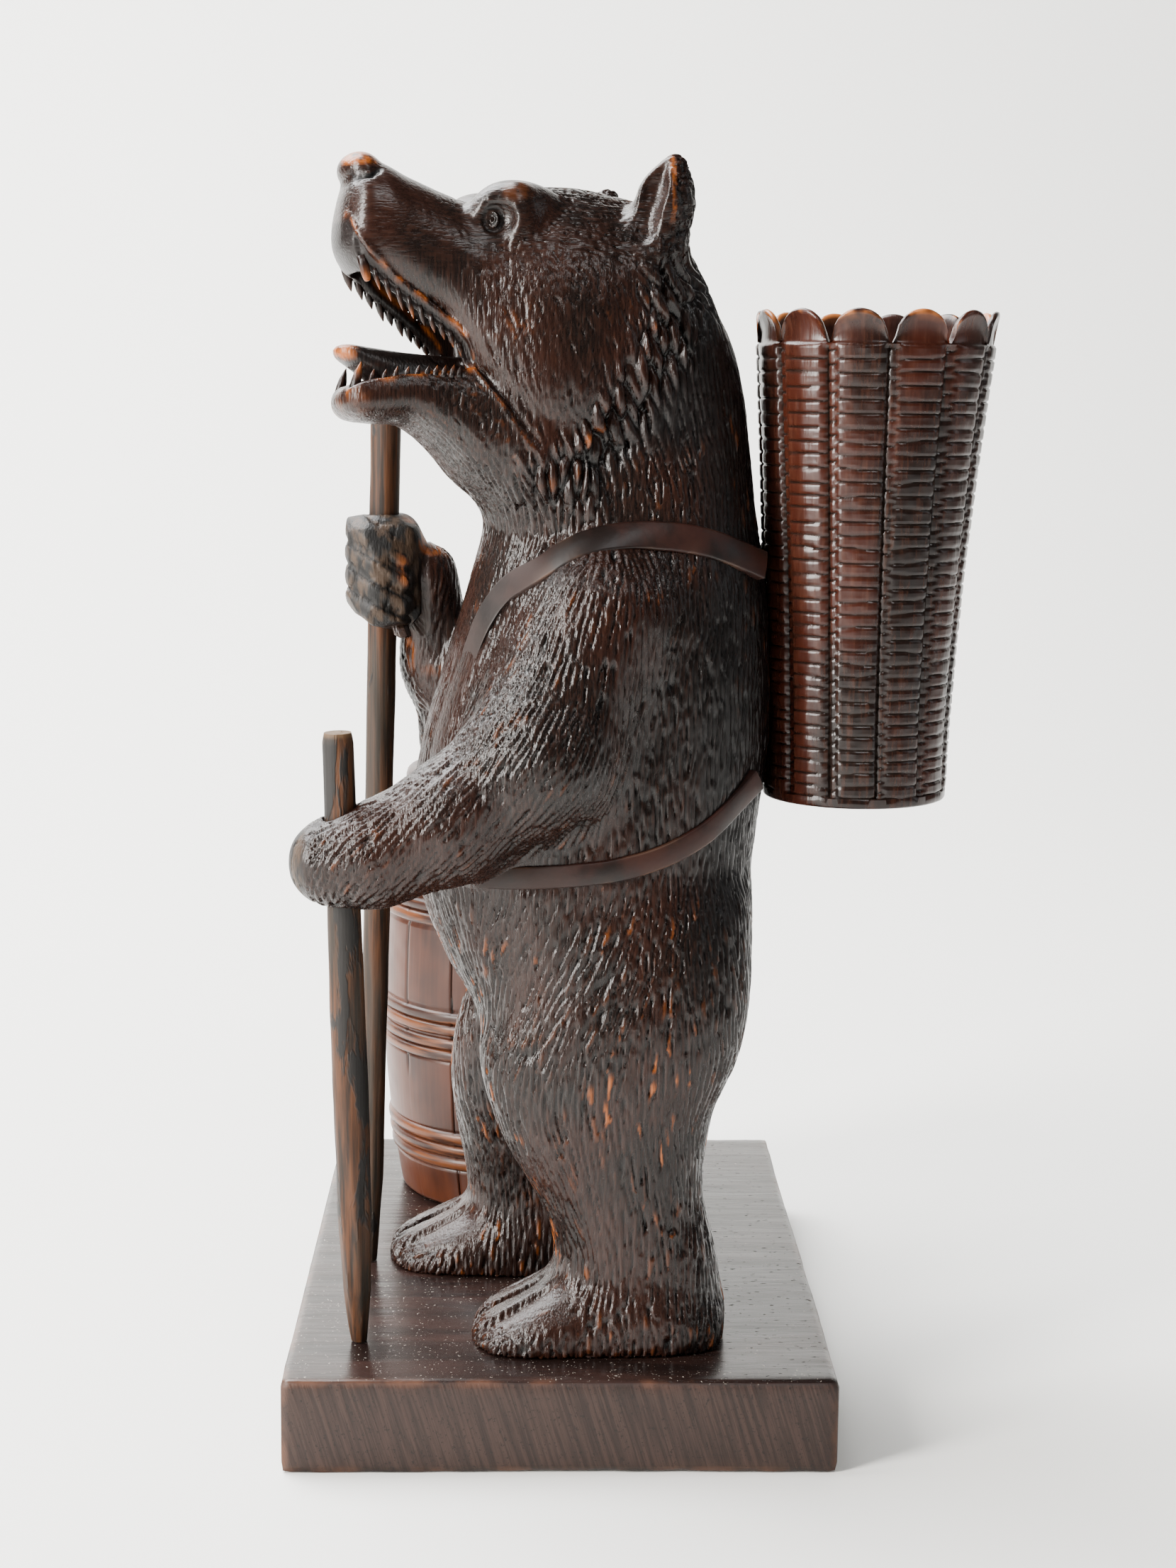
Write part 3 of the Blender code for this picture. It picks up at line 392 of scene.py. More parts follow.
def head_axes():
    """Forward, left and up of the turned head, as rows."""
    forward = np.array([math.sin(HEAD_TURN), -math.cos(HEAD_TURN), 0])
    level = np.array([math.cos(HEAD_TURN), math.sin(HEAD_TURN), 0])
    rise = np.array([0, 0, 1])
    left = math.cos(HEAD_TILT) * level + math.sin(HEAD_TILT) * rise
    up = math.cos(HEAD_TILT) * rise - math.sin(HEAD_TILT) * level
    return np.array([forward, left, up])


def in_head(x, y, z):
    """Distances forward, left and up from the head's pivot."""
    away = (x - HEAD_PIVOT[0], y - HEAD_PIVOT[1], z - HEAD_PIVOT[2])
    return [sum(axis[i] * away[i] for i in range(3)) for axis in head_axes()]


def from_head(forward, left, up):
    return np.array(HEAD_PIVOT) + np.array([forward, left, up]) @ head_axes()


def side_limb(head, side, joints, reach):
    """The limb through joints that are given for the head's left, on either side of it."""
    return limb(head, [((f, side * l, u), radius) for (f, l, u), radius in joints], reach)


def ear_field(head, side):
    """One ear: a leaf standing on the skull, hollowed on its front and outer face."""
    leaf, hollow = side_limb(head, side, EAR_LEAF, 9), side_limb(head, side, EAR_HOLLOW, 4)
    return smooth_max(leaf, -hollow, 1.6)


def head_fields(x, y, z):
    """The head without its tongue, and the tongue."""
    head = in_head(x, y, z)
    forward, left, up = head
    skull = loft(forward, up, left, SKULL, (3.2, 2.2), 6)
    brows = [egg(head, (53.5, side * 20, 28 - side), (15.5, 10.5, 10.5)) for side in (-1, 1)]
    skull = smooth_min(skull, smooth_min(*brows, 2), 7)
    lumps = [((53, side * 27, 22.5), (6.5, 4.8, 12), 4) for side in (-1, 1)]
    lumps += [((107, 0, 42.5), (8, 12.5, 6.8), 1.8), ((106.5, 0, 17), (9.5, 17, 13), 5)]
    for centre, radii, reach in lumps:  # beside the eyes, the nose and the upper lip
        skull = smooth_min(skull, egg(head, centre, radii), reach)
    for side in (-1, 1):
        skull = smooth_max(skull, -nostril_field(head, side), 0.5)
        skull = smooth_max(skull, -side_limb(head, side, PAD_EDGE, 0.5), 1.2)
        socket = egg(head, (63.5, side * 30, 22), (7.5, 6, 6.5))
        skull = smooth_max(skull, -socket, 3)
        corner = capsule(head, (68, side * 27, 19), (74.5, side * 26, 14.5), 1.3, 0.6)
        skull = smooth_max(skull, -corner, 1)
        skull = smooth_min(skull, ear_field(head, side), 7)
    skull = smooth_max(skull, -loft(forward, up, left, PALATE, (2.6, 2.6), 3), 1.2)
    jaw = loft(forward, up, left, JAW, (2.3, 3.6), 5)
    jaw = smooth_max(jaw, -loft(forward, up, left, TROUGH, (2.8, 2.8), 3), 1.2)
    for side in (-1, 1):
        skull = smooth_min(skull, limb(head, gum_joints(side), 0.6), 1.6)
    tongue = loft(forward, up, left, TONGUE, (2.4, 2.4), 3)
    return smooth_min(skull, jaw, 1), tongue


def nostril_field(head, side):
    """The slit that curls back under the nose."""
    return side_limb(head, side, NOSTRIL, 0.5)


def gum_joints(side):
    """The upper gum on one side, a little inside and below the lip."""
    half = np.interp([p[0] for p in UPPER_LIP[1:-2]], (70, 80, 95, 108), (18.5, 17, 14.5, 13))
    return [((f + 0.9, side * l, u - 2.3), 2.6) for (f, u), l in zip(UPPER_LIP[1:-2], half)]


def head_field(x, y, z):
    head, tongue = head_fields(x, y, z)
    return smooth_min(head, tongue, 0.8)


def foot_field(p, heel, spread):
    """A foot from its heel forwards, with slots between the toes."""
    x, y, z = p
    forward = heel[1] - y
    side = (x - heel[0]) - spread * np.clip(forward - 45, 0, 60)
    foot = loft(forward, z - PLINTH_TOP, side, FOOT, (2.3, 2.3), 6)
    local = (forward, side, z - PLINTH_TOP)
    for start in TOE_GROOVES:
        joints = (((44, start * 0.7, 31.5), 0.8), ((60, start * 0.85, 24.5), 2.2))
        joints += (((78, start, 14.8), 2.6), ((95, start * 1.1, 4.8), 2.2))
        foot = smooth_max(foot, -limb(local, joints, 1), 1.6)
    return foot


def fist_field(p):
    """The raised right fist: a block with four slanting fingers, parted by slots."""
    fist = loft(p[2], p[1], p[0], FIST, (3, 3), 5)
    for i in range(4):
        drop = 9.4 * i
        joints = (((22, -83.5, 348 - drop), 5), ((34, -82.5, 347 - drop), 5.2))
        joints += (((39.5, -74, 342 - drop), 5.2), ((38, -64, 336 - drop), 4.6))
        fist = smooth_min(fist, limb(p, joints, 2), 1)
    for drop in FINGER_GROOVES:
        slot = capsule(p, (45, -90, drop + 1), (46.5, -62, drop - 10), 2.2, 2)
        fist = smooth_max(fist, -slot, 0.9)
    return fist


def trunk_field(x, y, z):
    body = loft(z, y, x, TORSO, (2.3, 2.3), 14)
    legs = [loft(z, y, x, rows, (2.4, 2.4), 14) for rows in (LEFT_LEG, RIGHT_LEG)]
    return smooth_min(body, smooth_min(*legs, 6), 9)


def bear_field(x, y, z):
    """The whole bear. What is far above or below all the samples is left out."""
    p = (x, y, z)
    low, high = float(np.min(z)), float(np.max(z))
    body = trunk_field(x, y, z)
    if high > HEAD_FROM:
        body = smooth_min(body, head_field(x, y, z), 9)
    if high > ARMS_SPAN[0] and low < ARMS_SPAN[1]:
        for arm in (LEFT_ARM, RIGHT_ARM):
            body = smooth_min(body, limb(p, arm, 12), 9)
    if high > FIST_SPAN[0] and low < FIST_SPAN[1]:
        body = smooth_min(body, fist_field(p), 5)
    if low < FEET_TO:
        for heel, spread in FEET:
            body = smooth_min(body, foot_field(p, heel, spread), 7)
    for ends, radii in ((STAFF_LEFT, STAFF_LEFT_RADII), (STAFF_RIGHT, STAFF_RIGHT_RADII)):
        body = smooth_max(body, -staff_hole(p, ends, radii), 0.5)
    return np.maximum(body, PLINTH_TOP + GAP - z)


def staff_hole(p, ends, radii):
    """Room for a staff through the hand that holds it."""
    start, end = np.array(ends[0]), np.array(ends[1])
    share = (p[2] - start[2]) / (end[2] - start[2])
    radius = np.interp(share, *zip(*radii)) + GAP
    centre = [start[i] + share * (end[i] - start[i]) for i in (0, 1)]
    away = np.sqrt((p[0] - centre[0]) ** 2 + (p[1] - centre[1]) ** 2)
    return np.where(share < 0.3, 40, away - radius)


def basket_share(z):
    """How far up the basket z is."""
    return (z - BASKET_LOW[2]) / (BASKET_RIM[2] - BASKET_LOW[2])


def flare(z):
    """How far its side has swung out by z: little at first, more towards the rim."""
    return np.maximum(0, basket_share(z)) ** 1.6


def basket_radius(z):
    return BASKET_LOW_RADIUS + flare(z) * (BASKET_RIM_RADIUS - BASKET_LOW_RADIUS)


def seat_field(x, y, z):
    """Room for the basket in the bear's back."""
    middle = BASKET_LOW[1] + flare(z) * (BASKET_RIM[1] - BASKET_LOW[1])
    away = np.sqrt((x - BASKET_LOW[0]) ** 2 + (y - middle) ** 2) - basket_radius(z) - GAP
    return np.maximum(away, BASKET_LOW[2] - SEAT_DEPTH - z)


def cleared(points, least=0):
    """Points moved forward out of the basket's seat, to be at least so far from it."""
    seat = seat_field(*points.T)
    inside = (seat < least) & (points[:, 2] > BASKET_LOW[2] - SEAT_DEPTH)
    points[:, 1] -= np.where(inside, least - seat, 0)
    return points


# Noise.


def noise(points, size, seed):
    """Smooth noise from -1 to 1 at points, its bumps about size across."""
    lattice = np.random.default_rng(seed).uniform(-1, 1, (LATTICE, LATTICE, LATTICE))
    scaled = np.asarray(points, float) / size + 20 * LATTICE  # above zero everywhere
    whole = np.floor(scaled).astype(int)
    part = scaled - whole
    part = part * part * (3 - 2 * part)
    total = 0
    for corner in itertools.product((0, 1), repeat=3):
        weight = 1
        for axis in range(3):
            weight = weight * (part[..., axis] if corner[axis] else 1 - part[..., axis])
        index = tuple((whole[..., axis] + corner[axis]) % LATTICE for axis in range(3))
        total = total + weight * lattice[index]
    return total


def noises(points, size, seed):
    """Three channels of noise."""
    return np.stack([noise(points, size, seed + i) for i in range(3)], -1)


def wrapped_noise(turn, z, size, seed):
    """Noise over a round side laid flat, at turn along it and z up it."""
    return noise(np.stack([turn, z + 0 * turn, 0 * turn], 1), size, seed)


# The bear's skin.


def sampled(field, low, high, step):
    """field on a grid, worked out only near its skin. Elsewhere the samples hold its sign alone."""
    blocks = [int(math.ceil((b - a) / s / BLOCK)) for a, b, s in zip(low, high, step)]
    ticks = [a + s * np.arange(n * BLOCK) for a, n, s in zip(low, blocks, step)]
    middles = [t.reshape(-1, BLOCK).mean(1) for t in ticks]
    reach = 0.5 * BLOCK * math.sqrt(sum(s * s for s in step)) * 1.25 + 1.5  # past a block's corner
    value = np.empty((blocks[0], BLOCK, blocks[1], BLOCK, blocks[2], BLOCK), np.float32)
    for k in range(blocks[2]):
        x, y, z = np.meshgrid(middles[0], middles[1], middles[2][k : k + 1], indexing="ij")
        coarse = field(x, y, z)[..., 0]
        value[:, :, :, :, k, :] = coarse[:, None, :, None, None]
        near = np.argwhere(np.abs(coarse) < reach)
        if not len(near):
            continue
        i, j = near.T
        xs = ticks[0].reshape(-1, BLOCK)[i][:, :, None, None]
        ys = ticks[1].reshape(-1, BLOCK)[j][:, None, :, None]
        zs = ticks[2].reshape(-1, BLOCK)[k][None, None, None, :]
        x, y, z = np.broadcast_arrays(xs, ys, zs)
        value[i, :, j, :, k, :] = field(x, y, z)
    return value.reshape([len(t) for t in ticks])


def net_of(value, low, step):
    """Points and quads on the zero level of a grid of samples: one point in each cell that it crosses."""
    corners = list(itertools.product((0, 1), repeat=3))
    shape = [n - 1 for n in value.shape]

    def shifted(array, start):
        return array[tuple(slice(s, s + n) for s, n in zip(start, shape))]

    inside = value < 0
    count = np.zeros(shape, np.uint8)
    for corner in corners:
        count += shifted(inside, corner)
    cells = np.argwhere((count > 0) & (count < 8))
    held = np.stack([value[tuple((cells + corner).T)] for corner in corners], 1)
    total, number = np.zeros((len(cells), 3)), np.zeros(len(cells))
    for a, b in itertools.combinations(range(8), 2):
        apart = [axis for axis in range(3) if corners[a][axis] != corners[b][axis]]
        if len(apart) > 1:
            continue
        crossed = (held[:, a] < 0) != (held[:, b] < 0)
        share = held[:, a] / np.where(crossed, held[:, a] - held[:, b], 1)
        total += crossed[:, None] * np.array(corners[a])
        total[:, apart[0]] += crossed * share
        number += crossed
    points = np.array(low) + (cells + total / number[:, None]) * np.array(step)
    index = np.full(shape, -1, np.int32)
    index[tuple(cells.T)] = np.arange(len(cells))
    quads = []
    for axis in range(3):
        u, v = (axis + 1) % 3, (axis + 2) % 3
        first = tuple(slice(None, -1) if i == axis else slice(1, -1) for i in range(3))
        last = tuple(slice(1, None) if i == axis else slice(1, -1) for i in range(3))
        for flips in (False, True):
            a, b = (inside[last], inside[first]) if flips else (inside[first], inside[last])
            at = np.argwhere(a & ~b)
            at[:, u] += 1
            at[:, v] += 1
            back_u, back_v = np.zeros(3, int), np.zeros(3, int)
            back_u[u], back_v[v] = 1, 1
            ring = [at, at - back_u, at - back_u - back_v, at - back_v]
            if flips:
                ring.reverse()
            quads.append(np.stack([index[tuple(corner.T)] for corner in ring], 1))
    return points, np.concatenate(quads)


def summed(index, weights, size):
    """weights added up by index, one column at a time."""
    return np.stack([np.bincount(index, weights[:, i], size) for i in range(weights.shape[1])], 1)


def normals_of(points, quads):
    """A unit normal at each point."""
    a, b, c, d = (points[quads[:, i]] for i in range(4))
    lean = np.cross(c - a, d - b)
    total = summed(quads.ravel(), np.repeat(lean, 4, axis=0), len(points))
    return total / np.maximum(np.linalg.norm(total, axis=1), 1e-12)[:, None]


def neighbour_means(values, quads):
    """For each point, the mean of values over the ends of its edges."""
    ends = np.concatenate([quads[:, [i, (i + 1) % 4]] for i in range(4)])
    total = summed(ends[:, 0], values[ends[:, 1]], len(values))
    total += summed(ends[:, 1], values[ends[:, 0]], len(values))
    count = np.bincount(ends.ravel(), minlength=len(values))
    return total / np.maximum(count, 1)[:, None]


def unit(vectors):
    vectors = np.asarray(vectors, float)
    return vectors / np.maximum(np.linalg.norm(vectors, axis=-1, keepdims=True), 1e-9)


def ruff_line(up):
    """How far forward the ruff's edge is at a height on the head."""
    return np.interp(-up, [-u for u in RUFF[1]], RUFF[0])


def in_face(head):
    """1 on the head ahead of the ruff, 0 behind it and on the body."""
    forward, _, up = head.T
    return ramp(forward - ruff_line(up), -1, 5) * ramp(up, -88, -76)


def flow_at(points, normals, head):
    """Which way the strokes run at each point, along the skin."""
    x, y, z = points.T
    forward, _, up = head.T
    run = np.zeros_like(points)
    run[:, 2] = -1
    thigh = 0.42 * ramp(z, 222, 205) * ramp(z, 130, 165) * ramp(y, 50, 10)
    run[:, 1] -= thigh * ramp(y, -45, -20)
    run[:, 1] += 0.32 * ramp(z, 140, 115) * ramp(z, 60, 80) * ramp(y, 45, 20)
    run[:, 1] -= 0.35 * ramp(y, 40, 60) * ramp(z, 165, 135)
    run[:, 1] += 0.55 * ramp(y, -25, -45) * ramp(z, 240, 200) * ramp(z, 120, 150)
    shoulder = ramp(y, 42, -20) * ramp(z, 205, 235) * ramp(z, 352, 335)
    run[:, 1] -= 0.42 * shoulder * ramp(np.abs(x - BEAR_X), 26, 44)
    for joints in (LEFT_ARM, RIGHT_ARM):
        for (a, first), (b, last) in zip(joints[1:], joints[2:]):
            share = ramp(capsule(points.T, a, b, first, last), 8, 1)[:, None]
            run += 0.55 * share * unit(np.array(b) - np.array(a))
    feet = ramp(z, 78, 56) * ramp(y, 20, -5) * ramp(normals[:, 2], 0.45, 0.75)
    run += feet[:, None] * np.array([0, -2.2, 0.6])
    axes = head_axes()
    on_head = ramp(up, -86, -60) * ramp(forward, -34, -6)
    top = ramp(up, -4, 16)
    throat = ramp(fold_side(forward, up), 0, 4) * ramp(up, -24, -38)
    cheek = 0.32 + 0.2 * ramp(up, -20, 0)
    back = cheek + top + 0.75 * throat * ramp(up, -78, -60)
    fall = 1 - 0.8 * top - 0.25 * throat
    over_head = unit(-back[:, None] * axes[0] - fall[:, None] * axes[2])
    run = run * (1 - on_head[:, None]) + over_head * on_head[:, None]
    tangle = 0.75 * ruff_weight(head)[:, None] * noises(points, 13, SEED + 40)
    run += 0.16 * noises(points, 22, SEED) + tangle
    run -= normals * np.sum(run * normals, axis=1)[:, None]
    return unit(run)


def line_distance(forward, up, line):
    """Distance in the head's side view to a line on it."""
    nearest = np.full(np.shape(forward), 1e9)
    for (f, u), (g, v) in zip(line, line[1:]):
        run = (g - f) ** 2 + (v - u) ** 2
        t = np.clip(((forward - f) * (g - f) + (up - u) * (v - u)) / run, 0, 1)
        nearest = np.minimum(nearest, np.hypot(forward - f - t * (g - f), up - u - t * (v - u)))
    return nearest


def fold_side(forward, up):
    """How far ahead of the cheek's fold a place is, in the head's side view."""
    ups, forwards = [p[1] for p in reversed(CHEEK_FOLD)], [p[0] for p in reversed(CHEEK_FOLD)]
    return forward - np.interp(up, ups, forwards)


def lip_drop(forward, up):
    """How far below the upper lip's line a place is."""
    return 0.72 * (np.interp(forward, *zip(*UPPER_LIP)) - up)


def stroke_size(head):
    """Half width and half length of a stroke at each point."""
    face = in_face(head)
    ruff = ruff_weight(head)
    return 1.4 - 0.4 * face + 1.3 * ruff, 9.5 - 3 * face + 0.5 * ruff


def ruff_weight(head):
    """1 on the long locks along the cheek's edge."""
    forward, _, up = head.T
    behind = ruff_line(up) - forward
    near = ramp(behind, -15, -6) * ramp(behind, 26, 12)
    return near * ramp(up, 14, 4) * ramp(up, -94, -76)


def stroke_seeds(points, flow, half_width, half_length):
    """Where strokes are centred: points picked at random, none close to another along or across the flow."""
    order = np.random.default_rng(SEED).permutation(len(points))
    keys = np.floor(points / STROKE_CELL).astype(int)
    grid, kept = {}, []
    around = list(itertools.product((-1, 0, 1), repeat=3))
    for i in order[: int(0.3 * len(order))]:
        a, b, c = key = tuple(keys[i])
        close = [j for u, v, w in around for j in grid.get((a + u, b + v, c + w), ())]
        if close:
            away = points[close] - points[i]
            along = away @ flow[i]
            across2 = np.sum(away * away, axis=1) - along * along
            near = (along / half_length[i]) ** 2 + across2 / half_width[i] ** 2
            if near.min() < STROKE_SPACING * STROKE_SPACING:
                continue
        grid.setdefault(key, []).append(i)
        kept.append(i)
    return np.array(kept)


def strokes(points, normals, flow, half_width, half_length, ends):
    """For each point, how far inside its stroke and along it, and the stroke's random number and seed."""
    seeds = stroke_seeds(points, flow, half_width, half_length)
    rng = np.random.default_rng(SEED + 1)
    lean = rng.normal(0, STROKE_LEAN, len(seeds))
    across = np.cross(normals[seeds], flow[seeds])
    runs = unit(flow[seeds] + lean[:, None] * across)
    shares = rng.uniform(0, 1, len(seeds))
    tree = KDTree(len(seeds))
    for i, seed in enumerate(seeds):
        tree.insert(points[seed], i)
    tree.balance()
    warped = points + STROKE_WARP * noises(points, 6, SEED + 20)
    near = np.array([[found[1] for found in tree.find_n(p, NEIGHBOURS)] for p in warped.tolist()])
    inner, along = np.zeros(len(points)), np.zeros(len(points))
    own, owner = np.zeros(len(points)), np.zeros(len(points), int)
    for start in range(0, len(points), CHUNK):
        part = slice(start, start + CHUNK)
        pick = near[part]
        away = warped[part][:, None, :] - points[seeds][pick]
        u = np.sum(away * runs[pick], axis=2)
        facing = np.einsum("nj,nkj->nk", normals[part], normals[seeds][pick])
        v2 = np.maximum(np.sum(away * away, axis=2) - u * u, 0)
        size = (half_length[seeds][pick], half_width[seeds][pick])
        gap = np.sqrt((u / size[0]) ** 2 + v2 / size[1] ** 2) + 4 * (facing < 0.2)
        order = np.argsort(gap, axis=1)[:, :2]
        rows = np.arange(len(pick))
        first, second = pick[rows, order[:, 0]], pick[rows, order[:, 1]]
        apart = points[seeds[second]] - points[seeds[first]]
        ahead = np.sum(apart * runs[first], axis=1)
        beside = np.maximum(np.sum(apart * apart, axis=1) - ahead * ahead, 0)
        beside = beside / half_width[seeds[first]] ** 2
        ahead = ahead * ahead / half_length[seeds[first]] ** 2
        sideways = beside / np.maximum(beside + 1.6 * ahead, 1e-9)
        sideways += (1 - sideways) * ends[part]
        edge = np.clip((gap[rows, order[:, 1]] - gap[rows, order[:, 0]]) / STROKE_EDGE, 0, 1)
        inner[part] = 1 - sideways * (1 - edge)
        along[part] = (u / size[0])[rows, order[:, 0]]
        owner[part] = seeds[first]
        own[part] = shares[first]
    return inner, along, own, owner


def strap_distance(points, paths):
    """Distance from each point to the nearer strap's middle line."""
    nearest = np.full(len(points), 1e9)
    for path in paths:
        for a, b in zip(path, path[1:]):
            nearest = np.minimum(nearest, capsule(points.T, a, b, 0, 0))
    return nearest


def coat_of(points, head):
    """How deep the fur is cut: 1 on the body, 0 on the smooth places."""
    x, y, z = points.T
    forward, left, up = head.T
    face = in_face(head)
    coat = 1 - 0.25 * face
    muzzle = face * ramp(forward, 62, 80) * ramp(up, -30, -20)
    coat *= 1 - 0.8 * muzzle
    coat *= 1 - face * ramp(forward, 84, 96) * ramp(up, -30, -20)
    chin = face * ramp(forward, 76, 100) * ramp(up, -28, -34)
    coat *= 1 - 0.8 * chin
    coat *= ramp(line_distance(forward, up, UPPER_LIP), 1.5, 5)
    coat *= ramp(line_distance(forward, up, CHEEK_FOLD), 0.8, 2.2)
    brow = egg((forward, np.abs(left), up), (55, 22, 27), (17, 13, 12))
    coat *= ramp(brow, 0, 4)
    for side in (-1, 1):
        eye = egg((forward, left, up), (EYE[0], side * EYE[1], EYE[2]), (10, 8, 8))
        ear = ear_field((forward, left, up), side)
        ahead = ramp(forward, -3, 1)
        coat *= ramp(eye, 0, 4) * (1 - ahead * ramp(ear, 4, 0.5) * ramp(up, 16, 24))
    for rows in (PALATE, TROUGH, TONGUE):
        coat *= ramp(loft(forward, up, left, rows, (2.6, 2.6), 3), 0.6, 2)
    throat = ramp(y, -14, -30) * ramp(z, 205, 240) * ramp(z, 372, 350)
    coat *= 1 - 0.45 * throat * ramp(np.abs(x - BEAR_X), 44, 34)
    hand = ramp(y, -50, -55) * ramp(z, 300, 308) * ramp(z, 362, 356) * ramp(x, 60, 50)
    coat *= 1 - hand
    coat *= 1 - ramp(y, -93, -97) * ramp(z, 200, 206)
    for heel, _ in FEET:
        toes = ramp(heel[1] - y, 50, 62) * ramp(z, 72, 66) * ramp(np.abs(x - heel[0]), 38, 36)
        coat *= 1 - 0.85 * toes * ramp(z, PLINTH_TOP + 6, PLINTH_TOP + 14)
    return coat


def eye_groove(forward, up):
    """Distance in the head's side view to the groove round the eye."""
    return np.abs(np.hypot(1.3 * (forward - EYE[0]), up - EYE[2]) - EYE_GROOVE)


def face_relief(normals, head):
    """Low relief on the head: the lips' edges, the gum under the upper one, and the cheek's fold."""
    forward, left, up = head.T
    outer = ramp(np.sum(normals * head_axes()[1], axis=1) * np.sign(left), 0.25, 0.6)
    outer = outer * ramp(np.abs(left), 7, 10)
    front = ramp(forward, 69, 70.5)
    drop = lip_drop(forward, up)
    lift = np.exp(-((drop / 1.1) ** 2)) * front
    gum = 1.3 * ramp(drop, 0.7, 1.8) * ramp(drop, 14, 12) * front
    lift -= gum * ramp(forward, 113.5, 112) * (up > -30)
    lift += 0.8 * np.exp(-((line_distance(forward, up, LOWER_LIP) / 1.1) ** 2))
    lift -= 0.8 * np.exp(-((eye_groove(forward, up) / 0.8) ** 2))
    ahead = fold_side(forward, up)
    at_fold = ramp(up, -31.5, -33.5) * ramp(up, -64, -58)
    lift += at_fold * (0.9 * np.exp(-(ahead**2)) - 1.1 * np.exp(-(((ahead + 2.6) / 1.5) ** 2)))
    return lift * outer


def bear_skin(strap_paths):
    """The carved bear as points, quads, and a number at each point for each of its marks."""
    value = sampled(bear_field, BEAR_LOW, BEAR_HIGH, BEAR_STEP)
    points, quads = net_of(value, BEAR_LOW, BEAR_STEP)
    del value
    for _ in range(NET_SMOOTHINGS):
        points += 0.5 * (neighbour_means(points, quads) - points)
    normals = normals_of(points, quads)
    head = np.stack(in_head(*points.T), 1)
    flow = flow_at(points, normals, head)
    ruff = ruff_weight(head)
    inner, along, own, owner = strokes(points, normals, flow, *stroke_size(head), ruff)
    under = strap_distance(points, strap_paths)
    bare = ramp(under, 0.5 * STRAP_WIDTH + 1.2, 0.5 * STRAP_WIDTH - 0.6)
    coat = coat_of(points, head) * (1 - bare)
    crown = 1 - (1 - inner) ** 1.4
    depth = (0.55 + 0.8 * own) * coat * (1 + 0.9 * ruff)
    lift = 1.5 * depth * (crown - 1) + depth * np.clip(along, -1, 1) * (0.16 + 0.34 * ruff)
    behind = (ruff_line(head[:, 2]) - head[:, 0])[owner]
    tuft = ramp(behind, -16, -2) * (behind < 0) * ramp(head[:, 2], 16, 6)
    tuft = tuft * ramp(head[:, 2], -86, -70)
    lift += 1.7 * tuft * (np.abs(head[:, 1]) > 12)
    lift += 0.3 * coat * noise(points, 15, SEED + 5)
    fist = hand_of(points)
    cracks = ramp(np.abs(noise(points, 8, SEED + 7)), 0.05, 0)
    lift += fist * (0.2 * noise(points, 6, SEED + 6) - 0.6 * cracks)
    bars = finger_bars(points)
    lift -= 0.6 * bars * fist
    lift += face_relief(normals, head)
    lift -= 0.4 * bare
    points = whittled(points + normals * lift[:, None], fist)
    points = cleared(points)
    points[:, 2] = np.maximum(points[:, 2], PLINTH_TOP + GAP)
    marks = {
        # ridge: 1 on the strokes' crowns and on smooth places, less in the grooves between strokes, where
        # the fur material paints shade.
        "ridge": crown * coat + (1 - coat),
        "coat": coat,
        "worn": worn_marks(points, head, coat, own, along, crown, behind),
        "aged": fist,
        "crown": ramp(head[:, 2], 0, 16) * ramp(head[:, 0], -30, -10),
        # dark: painted shade in the recesses and on the back and nape, and along the cuts between the raised
        # fist's fingers.
        "dark": np.maximum(painted_shade_places(points, head), bars * fist),
    }
    return points, quads, marks


def finger_bars(points):
    """1 along the slanting cuts between the raised fist's fingers and across their knuckles."""
    nearest = np.full(len(points), 1e9)
    for start in FINGER_CUTS:
        cut = ((-90, start + 1), (-62, start - 13))
        nearest = np.minimum(nearest, line_distance(points[:, 1], points[:, 2], cut))
    bend = np.abs((points[:, 1] + 80) - 0.45 * (points[:, 2] - 335))
    return np.maximum(ramp(nearest, 0.7, 0.2), 0.7 * ramp(bend, 0.5, 0.15)) * (points[:, 0] > 30)


def whittled(points, fist):
    """The raised fist cut flat in many places, as with a knife."""
    own = (fist > 0.3) & (points[:, 2] > 290)
    middle = points[own].mean(0)
    for direction in unit(np.random.default_rng(SEED + 15).normal(0, 1, (WHITTLINGS, 3))):
        reach = (points[own] - middle) @ direction
        over = np.maximum(reach - np.quantile(reach, 0.985), 0)
        points[own] -= 0.8 * over[:, None] * direction
    return points


def painted_shade_places(points, head):
    """1 where shade is painted: on the back, and on the nape behind the cheeks' ruff, which face away from
    the key lamp; inside the mouth, under the upper lip, in the nostrils, in the groove round each eye, and
    between the legs.
    """
    x, y, z = points.T
    forward, left, up = head.T
    nape = ramp(y, 40, 62) * ramp(z, 150, 220)
    nape = np.maximum(nape, ramp(forward - ruff_line(up), -6, -22) * ramp(z, 372, 392))
    mouth = ramp(loft(forward, up, left, PALATE, (2.6, 2.6), 3), 1, -0.5)
    mouth = np.maximum(mouth, ramp(loft(forward, up, left, TROUGH, (2.6, 2.6), 3), 1, -0.5))
    gum = ramp(lip_drop(forward, up), 1, 2) * ramp(forward, 69, 71) * ramp(up, -31, -28)
    slit = np.minimum(nostril_field((forward, left, up), 1), nostril_field((forward, left, up), -1))
    socket = ramp(eye_groove(forward, up), 1.2, 0.4) * (np.abs(left) > 10)
    groin = ramp(np.abs(x - BEAR_X), 16, 6) * ramp(z, 190, 150)
    deep = np.maximum.reduce([groin, 1.4 * ramp(slit, 0.5, 0.1), 0.8 * socket])
    return np.maximum.reduce([0.8 * nape, 0.75 * mouth, 0.75 * gum, 0.7 * deep])


